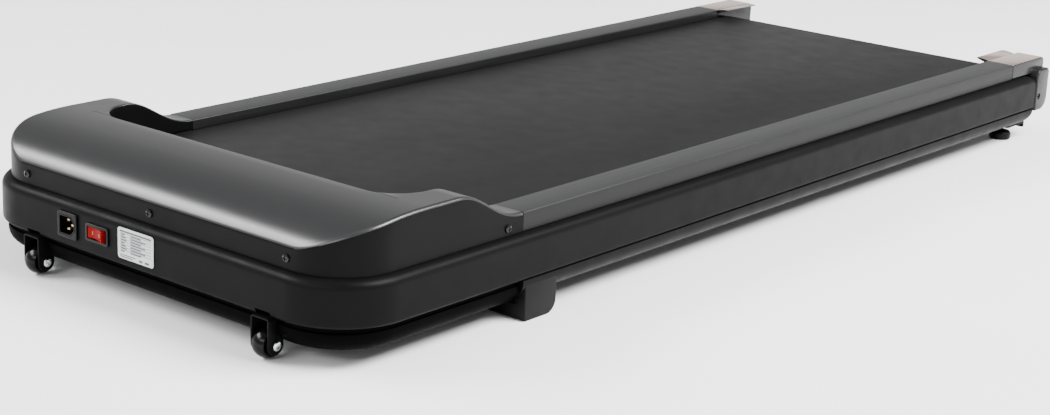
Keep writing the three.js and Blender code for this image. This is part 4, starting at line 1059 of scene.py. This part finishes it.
def wheel_bolt(side, axle):
    """The bolt that a wheel turns on, its head on the right."""
    node = side + "_wheel_bolt"
    lo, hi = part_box(node)
    radius, height, shank = 4.4 * MM, 2.4 * MM, 3 * MM
    bolt = cross_head(side + "_bolt_head", radius, height, shank, hi.x - lo.x - height, 0.55, 0.4)
    seat = Vector((hi.x - height, axle.y, axle.z))
    done(aimed(bolt, (1, 0, 0), seat), "chrome", replaces=[node])


# ---------------------------------------------------------------- front panel


def power_inlet():
    """A mains inlet: a grooved flange round a six-sided socket with three pins."""
    lo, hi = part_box("power_inlet")
    middle = (lo + hi) / 2
    body_x, body_z = INLET_BODY[0] / 2, INLET_BODY[1] / 2
    face = TUBE_FRONT - GAP
    flange = prism("power_inlet_housing", rectangle(lo.x, lo.z, hi.x, hi.z, 2 * MM), "y", lo.y, face)
    flange = softened(flange, 0.7 * MM, 3)
    body = block(
        middle.x - body_x, middle.x + body_x, face - MM, hi.y, middle.z - body_z, middle.z + body_z,
    )
    housing = combined(flange, [body], "UNION")
    socket_x, socket_z, cut, depth = 10.3 * MM, 8.5 * MM, 5 * MM, 15 * MM
    groove_depth, groove_out, groove_in = 0.5 * MM, 1.4 * MM, 0.7 * MM

    def socket(name, extra, y0, y1):
        """The opening's outline, two corners cut off, as a solid from y0 to y1."""
        left, right = middle.x - socket_x - extra, middle.x + socket_x + extra
        low, high = middle.z - socket_z - extra, middle.z + socket_z + extra
        shape = rounded([
            (left, low, 1.5 * MM), (right - cut, low, MM), (right, low + cut, MM),
            (right, high - cut, MM), (right - cut, high, MM), (left, high, 1.5 * MM),
        ], 4)
        return prism(name, shape, "y", y0, y1)

    housing = combined(housing, [socket("socket", 0, lo.y - PAST, lo.y + depth)])
    groove = socket("groove", groove_out, lo.y - PAST, lo.y + groove_depth)
    land = socket("land", groove_in, lo.y - 2 * PAST, lo.y + PAST)
    housing = combined(housing, [combined(groove, [land])])
    pins = {name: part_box("inlet_pin_" + name) for name in ("line", "neutral", "earth")}
    holes = [
        block(
            pin_lo.x - GAP, pin_hi.x + GAP, lo.y + 10 * MM, hi.y + PAST, pin_lo.z - GAP, pin_hi.z + GAP,
        )
        for pin_lo, pin_hi in pins.values()
    ]
    done(combined(housing, holes), "black_plastic", replaces=["power_inlet"])
    for name, (pin_lo, pin_hi) in pins.items():
        blade = block(pin_lo.x, pin_hi.x, pin_lo.y, pin_hi.y, pin_lo.z, pin_hi.z, name + "_pin")
        done(softened(blade, 0.6 * MM, 3), "brass", replaces=["inlet_pin_" + name])


def power_switch():
    """A rocker in a dark bezel, with the usual on and off marks."""
    lo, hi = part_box("switch_housing")
    middle = (lo + hi) / 2
    face = TUBE_FRONT - GAP
    bezel = prism("switch_bezel", rectangle(lo.x, lo.z, hi.x, hi.z, 2 * MM), "y", lo.y, face)
    bezel = softened(bezel, 0.6 * MM, 3)
    body_x, body_z = SWITCH_BODY[0] / 2, SWITCH_BODY[1] / 2
    well_x, well_z, well_floor = 13.8 * MM, 6 * MM, hi.y - 8 * MM
    body = block(
        middle.x - body_x, middle.x + body_x, face - 0.5 * MM, hi.y, middle.z - body_z, middle.z + body_z,
    )
    well = block(
        middle.x - well_x, middle.x + well_x, lo.y - PAST, well_floor, middle.z - well_z, middle.z + well_z,
    )
    housing = combined(combined(bezel, [body], "UNION"), [well])
    done(housing, "black_plastic", replaces=["switch_housing"])
    switch_rocker(middle.z)


def switch_rocker(middle_z):
    """The dished key, which turns about the joint's axis, with its two marks."""
    pivot = Vector(next(j["pos_m"] for j in frame["joints"] if j["name"] == "switch_rock"))
    half_x, half_z, proud, dish, belly = 12.2 * MM, 5.6 * MM, 8 * MM, 2.4 * MM, 4.5 * MM
    turn = Matrix.Rotation(math.radians(-9), 4, "Z")
    place = Matrix.Translation((pivot.x, pivot.y, middle_z)) @ turn

    def depth(x):
        return -proud + dish * (1 - (x / half_x) ** 2)

    outline = [(x, depth(x)) for x in (-half_x + 2 * half_x * i / 12 for i in range(13))]
    outline.append((half_x, -MM))
    for degrees in (25, 50, 75, 105, 130, 155):
        angle = math.radians(degrees)
        outline.append((half_x * math.cos(angle), -MM + belly * math.sin(angle)))
    outline.append((-half_x, -MM))
    key = softened(prism("rocker_key", outline, "z", -half_z, half_z), 0.5 * MM, 3, over=40)
    key.data.transform(place)
    done(key, "red_plastic", "rocker", ["switch_rocker"])

    thin, bar_x, bar_z = 0.15 * MM, 0.4 * MM, 1.7 * MM
    bar = softened(block(-bar_x, bar_x, -thin, thin, -bar_z, bar_z, "mark_on"), 0.1 * MM, 1)
    ring = [(1.1 * MM, -thin), (1.7 * MM, -thin), (1.7 * MM, thin), (1.1 * MM, thin)]
    circle = turned("mark_off", ring, "y", (0, 0, 0), 32, closed=True)
    for mark, x in ((bar, -6 * MM), (circle, 6 * MM)):
        slope = math.atan2(-2 * dish * x / half_x ** 2, 1)
        lean = Matrix.Translation((x, depth(x), 0)) @ Matrix.Rotation(slope, 4, "Z")
        mark.data.transform(place @ lean)
        done(mark, "mark_white", "rocker")


def rating_plate():
    """A foil plate with plain ruled bars where a real one has its print."""
    lo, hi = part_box("rating_plate")
    plate = prism("rating_plate_foil", rectangle(lo.x, lo.z, hi.x, hi.z, 3 * MM), "y", lo.y, hi.y)
    done(softened(plate, 0.15 * MM, 2), "plate_foil", replaces=["rating_plate"])
    width, height, ink_half = hi.x - lo.x, hi.z - lo.z, 0.05 * MM
    rows, pitch, row_top, rule, entry = 7, 0.09, 0.8, 0.016, 0.042
    # bars as shares of the plate: left, right, height of the middle, thickness
    bars = [(0.06, 0.94, 0.89, 0.055)]
    for i in range(rows):
        z = row_top - i * pitch
        bars.append((0.06, 0.94, z + 0.028, rule))
        bars.append((0.09, 0.2 + 0.03 * (i % 3), z - 0.012, entry))
        bars.append((0.36, 0.66 + 0.06 * ((i * 2) % 4), z - 0.012, entry))
    bars += [(0.06, 0.5, 0.13, 0.03), (0.06, 0.42, 0.07, 0.03)]
    bars += [(0.6, 0.7, 0.09, 0.07), (0.76, 0.88, 0.09, 0.07)]
    ink = [
        block(
            lo.x + x0 * width, lo.x + x1 * width, lo.y - ink_half, lo.y + ink_half,
            lo.z + (z - thick / 2) * height, lo.z + (z + thick / 2) * height, "rule",
        )
        for x0, x1, z, thick in bars
    ]
    done(joined(ink[0], ink[1:]), "plate_ink").name = "rating_plate_rules"


# ---------------------------------------------------------------- feet


def across(side, near, far):
    """The two distances from the middle line as low and high x on the given side."""
    return sorted((side * near, side * far))


def support_blocks():
    """Rubber blocks under the tube, rounded more at the bottom rear."""
    front_round, rear_round = 3 * MM, 13 * MM
    outer = HALF - 0.9 * MM
    top = BAY_TOP - GAP
    for side, name in ((-1, "left"), (1, "right")):
        node = name + "_support_block"
        lo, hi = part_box(node)
        inner = min(abs(lo.x), abs(hi.x))
        profile = rounded([
            (lo.y, 0, front_round), (hi.y, 0, rear_round), (hi.y, top, MM), (lo.y, top, MM),
        ], 10)
        foot = prism(name + "_block", profile, "x", *across(side, inner, outer))
        done(softened(foot, 1.6 * MM, 4), "rubber", replaces=[node])


def levelling_feet():
    """Rubber pads on threaded studs."""
    pad, edge, shoulder = 11 * MM, 2.2 * MM, 4.5 * MM
    core, crest, pitch = 3.4 * MM, 4 * MM, 1.25 * MM
    for name in ("left", "right"):
        node = name + "_levelling_foot"
        lo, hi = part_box(node)
        middle = (lo + hi) / 2
        radius = (hi.x - lo.x) / 2
        profile = [(0, 0), (radius - 2.4 * MM, 0)]
        profile += arc((radius - edge, edge), edge, 270, 360, 6)
        profile += arc((radius - shoulder, pad - shoulder), shoulder, 0, 90, 8)
        stud = [(6.5 * MM, pad), (6.5 * MM, pad + 0.1 * MM), (3.7 * MM, pad + 0.6 * MM)]
        for i in range(int((hi.z - pad - 2 * MM) / pitch)):
            z = pad + MM + i * pitch
            stud += [(core, z), (crest, z + pitch / 2)]
        stud += [(core, hi.z - 0.6 * MM), (2.8 * MM, hi.z), (0, hi.z)]
        foot = turned(name + "_foot_pad", profile + stud, "z", (middle.x, middle.y, lo.z), 48, sharp=35)
        done(foot, "rubber", name + "_foot", [node])


# ---------------------------------------------------------------- end caps


CAP_IN = RAIL_IN + 2 * GAP


def end_caps():
    """Moulded caps over the rear ends of rails and tube."""
    for side, name in ((-1, "left"), (1, "right")):
        cover = combined(cap_body(side, name), cap_cuts(side, name), sharp=35)
        done(cover, "cap_plastic", replaces=[name + "_end_cap"])
        # painted reflection on the cap's top faces
        repainted(cover, "cap_top_painted_reflection", lambda face: face.normal.z > 0.7 and face.center.z > RAIL_HI.z - 4 * MM)
        end_cap_lip(side, name)


def cap_body(side, name):
    """A cover over the rail's end, a block behind the tube's end and a web inside the tube."""
    front, rear = CAP_LO.y, CAP_HI.y
    seat, shoulder, behind = TUBE_TOP + GAP, TUBE_TOP + 6 * MM, TUBE_REAR + 4 * MM
    web_low = centre_of("rear_roller").z - 21 * MM
    web_rear = rear - 3 * MM
    saddle = rounded([(front, seat), (rear, seat), (rear, RAIL_HI.z, 7 * MM), (front, RAIL_HI.z)], 8)
    lower = rounded([
        (behind, CAP_LO.z, 4 * MM), (rear, CAP_LO.z, 16 * MM),
        (rear, shoulder, 6 * MM), (behind, shoulder, 10 * MM),
    ], 10)
    web = rounded([
        (front, web_low), (web_rear, web_low, 12 * MM), (web_rear, shoulder), (front, shoulder),
    ], 8)
    cover = softened(prism(name + "_cap_cover", saddle, "x", *across(side, CAP_IN, RAIL_OUT)), 1.5 * MM, 4)
    lower = softened(prism("lower", lower, "x", *across(side, CAP_IN, HALF)), 2.2 * MM, 4)
    web = prism("web", web, "x", *across(side, CAP_IN, HALF - TUBE_DEPTH - GAP))
    return combined(cover, [lower, web], "UNION", sharp=35)


def cap_cuts(side, name):
    """The hollow under the cover, the slot for the roller's axle, and the bolt and screw holes."""
    front, rear = CAP_LO.y, CAP_HI.y
    wall, slot_half = 2.5 * MM, 8.5 * MM
    axle = centre_of("rear_roller")
    bolt = centre_of(name + "_tension_bolt")
    screw = centre_of(name + "_cap_screw")
    bolt_mouth = (bolt.x, rear, bolt.z)
    screw_seat = (side * (HALF + 9.4 * MM), screw.y, screw.z)
    hollow = block(
        *across(side, CAP_IN + wall, HALF - TUBE_DEPTH - GAP + PAST),
        front + wall, rear - 14 * MM, 0, RAIL_HI.z - 8 * MM,
    )
    slot = block(
        *across(side, CAP_IN - PAST, CAP_IN + 4 * MM),
        axle.y - slot_half, axle.y + slot_half, 0, axle.z + slot_half,
    )
    recess = pin("y", bolt_mouth, 7.5 * MM, -9 * MM, PAST, 40)
    shank = pin("y", bolt_mouth, 4.3 * MM, -30 * MM, 0, 24)
    sink = pin("x", screw_seat, 4.2 * MM, -12 * MM, 12 * MM)
    return [hollow, slot, recess, shank, sink]


def end_cap_lip(side, name):
    """The thin wing that flares from the cap's inner top edge over the belt."""
    reach, tip, root, rise = 17 * MM, MM, 5.5 * MM, 1.6 * MM
    overlap, short = 2 * MM, 16 * MM
    outline = [(CAP_IN + overlap, RAIL_HI.z - 1.2 * MM)]
    for share in (0.15, 0.35, 0.55, 0.75, 0.9, 1):
        outline.append((CAP_IN - reach * share, RAIL_HI.z + rise * math.sin(1.9 * share)))
    edge = outline[-1][1] - tip
    for degrees in range(0, 91, 10):
        angle = math.radians(degrees)
        outline.append((CAP_IN - reach * math.cos(angle), edge - root * (1 - math.cos(angle))))
    outline.append((CAP_IN + overlap, edge - root))
    outline = [(side * x, z) for x, z in outline]
    wing = prism(name + "_cap_lip", outline, "y", CAP_LO.y + 0.5 * MM, CAP_HI.y - short, sharp=40)
    wing = done(softened(wing, 0.3 * MM, 2, over=50), "cap_plastic")
    # painted reflection on the lip's upper faces
    repainted(wing, "cap_top_painted_reflection", lambda face: face.normal.z > 0.5)


def tension_bolts():
    """Socket-head bolts that pull the rear roller's axle back."""
    head, radius, edge, shank, socket = 8 * MM, 6.5 * MM, 0.8 * MM, 4 * MM, 3 * MM
    core, pitch, plain = shank - 0.5 * MM, 1.5 * MM, 12 * MM
    for name in ("left", "right"):
        node = name + "_tension_bolt"
        lo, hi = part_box(node)
        middle = (lo + hi) / 2
        seat = hi.y - head
        tip = lo.y - seat
        profile = [(0, tip), (core, tip)]
        for i in range(int((-tip - plain - 2 * MM) / pitch)):
            start = tip + (i + 0.3) * pitch
            profile += [(core, start), (shank, start + pitch / 2)]
        profile += [(shank, -plain), (shank, 0), (radius, 0)]
        profile += [(radius, head - edge), (radius - edge, head), (0, head)]
        bolt = turned(name + "_tensioner_screw", profile, "y", (middle.x, seat, middle.z), 36)
        hexagon = arc((middle.x, middle.z), socket, 0, 300, 5)
        recess = prism("recess", hexagon, "y", hi.y - 4.5 * MM, hi.y + PAST)
        done(combined(bolt, [recess]), "steel", name + "_tensioner", [node])


# ---------------------------------------------------------------- what stays as the frame made it


def dress_nodes():
    """The inner parts keep their shapes and get the finishes that the record names."""
    sides = ("left", "right")
    cushions = [f"deck_cushion_{place}_{side}" for place in ("front", "middle", "rear") for side in sides]
    bearings = [f"{place}_roller_bearing_{side}" for place in ("front", "rear") for side in sides]
    finishes = {
        "frame_paint": ["front_cross_member", "middle_cross_member", "rear_cross_member"],
        "wood": ["deck_board"],
        "rubber": ["drive_belt", "motor_lead", *cushions],
        "steel": [
            "front_roller", "rear_roller", "front_roller_axle", "rear_roller_axle", *bearings,
            "motor_shaft", "motor_pulley", "motor_mount_plate",
        ],
        "motor_paint": ["drive_motor"],
        "cast_aluminium": ["roller_pulley", "motor_controller"],
    }
    for finish_name, nodes in finishes.items():
        for node in nodes:
            obj = frame["nodes"][node]
            obj.data.materials.clear()
            obj.data.materials.append(MATERIALS[finish_name])


# ---------------------------------------------------------------- camera, floor and light


def camera():
    """A long lens from the front right, above the deck and slightly rolled."""
    azimuth, elevation, roll = (math.radians(angle) for angle in (39.26, 16.40, -2.49))
    place = (1.3934, -1.80215, 0.6423)
    data = bpy.data.cameras.new("camera")
    data.lens = 70.77
    data.sensor_width = 36
    data.sensor_fit = "HORIZONTAL"
    data.clip_end = 60
    obj = bpy.data.objects.new("camera", data)
    bpy.context.scene.collection.objects.link(obj)
    level = Vector((math.sin(azimuth), -math.cos(azimuth), 0))
    back = level * math.cos(elevation) + Vector((0, 0, math.sin(elevation)))
    right = Vector((math.cos(azimuth), math.sin(azimuth), 0))
    up = back.cross(right)
    tilted_right = right * math.cos(roll) - up * math.sin(roll)
    tilted_up = right * math.sin(roll) + up * math.cos(roll)
    turn = Matrix((tilted_right, tilted_up, back)).transposed().to_4x4()
    obj.matrix_world = Matrix.Translation(place) @ turn
    bpy.context.scene.camera = obj


def floor():
    """A pale sheet just below the feet."""
    reach = 14
    plane = made("floor", [(x, y, 0) for x, y in rectangle(-reach, -reach, reach, reach)], [(0, 1, 2, 3)])
    nodes = Nodes("floor_paper")
    tones = (0.90, 0.90, 0.90), (0.93, 0.93, 0.93)
    nodes.feed(base_color=nodes.mixed(nodes.ranged(nodes.noise(3, 3), 0, 1), *tones))
    nodes.shader_values(roughness=0.9, specular_ior_level=0.1)
    plane.data.materials.append(nodes.material)
    plane.location.z = -0.2 * MM


def area_light(name, place, target, size, power):
    """A soft box of the given width and height, aimed at the target."""
    data = bpy.data.lights.new(name, "AREA")
    data.shape = "RECTANGLE"
    data.size, data.size_y = size
    data.energy = power
    obj = bpy.data.objects.new(name, data)
    bpy.context.scene.collection.objects.link(obj)
    obj.location = place
    obj.rotation_mode = "QUATERNION"
    obj.rotation_quaternion = (Vector(target) - Vector(place)).to_track_quat("-Z", "Y")


def studio():
    """A white room: bright low down, darker at mid height, and three soft boxes."""
    world = bpy.data.worlds.new("studio")
    bpy.context.scene.world = world
    world.use_nodes = True
    tree = world.node_tree
    background = tree.nodes["Background"]
    coordinates = tree.nodes.new("ShaderNodeTexCoord")
    split = tree.nodes.new("ShaderNodeSeparateXYZ")
    ramp = tree.nodes.new("ShaderNodeValToRGB")
    tree.links.new(coordinates.outputs["Generated"], split.inputs["Vector"])
    tree.links.new(split.outputs["Z"], ramp.inputs["Fac"])
    tree.links.new(ramp.outputs["Color"], background.inputs["Color"])
    # the sine of the angle above the horizon, and the brightness there
    stops = [(0.0, 1.0), (0.2, 1.0), (0.33, 0.75), (0.46, 0.16), (0.72, 0.2), (1.0, 0.9)]
    elements = ramp.color_ramp.elements
    while len(elements) < len(stops):
        elements.new(0.5)
    for element, (position, value) in zip(elements, stops):
        element.position = position
        element.color = (value, value, value, 1)
    background.inputs["Strength"].default_value = 1.0
    area_light("front_left", (-2.3, -2.1, 2.3), (0, 0, 0), (2.6, 1.0), 210)
    area_light("overhead_right", (2.4, 0.9, 2.8), (0, 0, 0), (2.6, 1.6), 520)
    area_light("front_fill", (0.4, -3.4, 1.7), (0, 0, 0.1), (2.8, 0.8), 60)


# ---------------------------------------------------------------- assembly

camera()
frame_tube()
foot_brackets()
motor_hood()
belly_pan()
side_rails()
walking_belt()
screws()
wheels()
power_inlet()
power_switch()
rating_plate()
support_blocks()
levelling_feet()
end_caps()
tension_bolts()
dress_nodes()
floor()
studio()
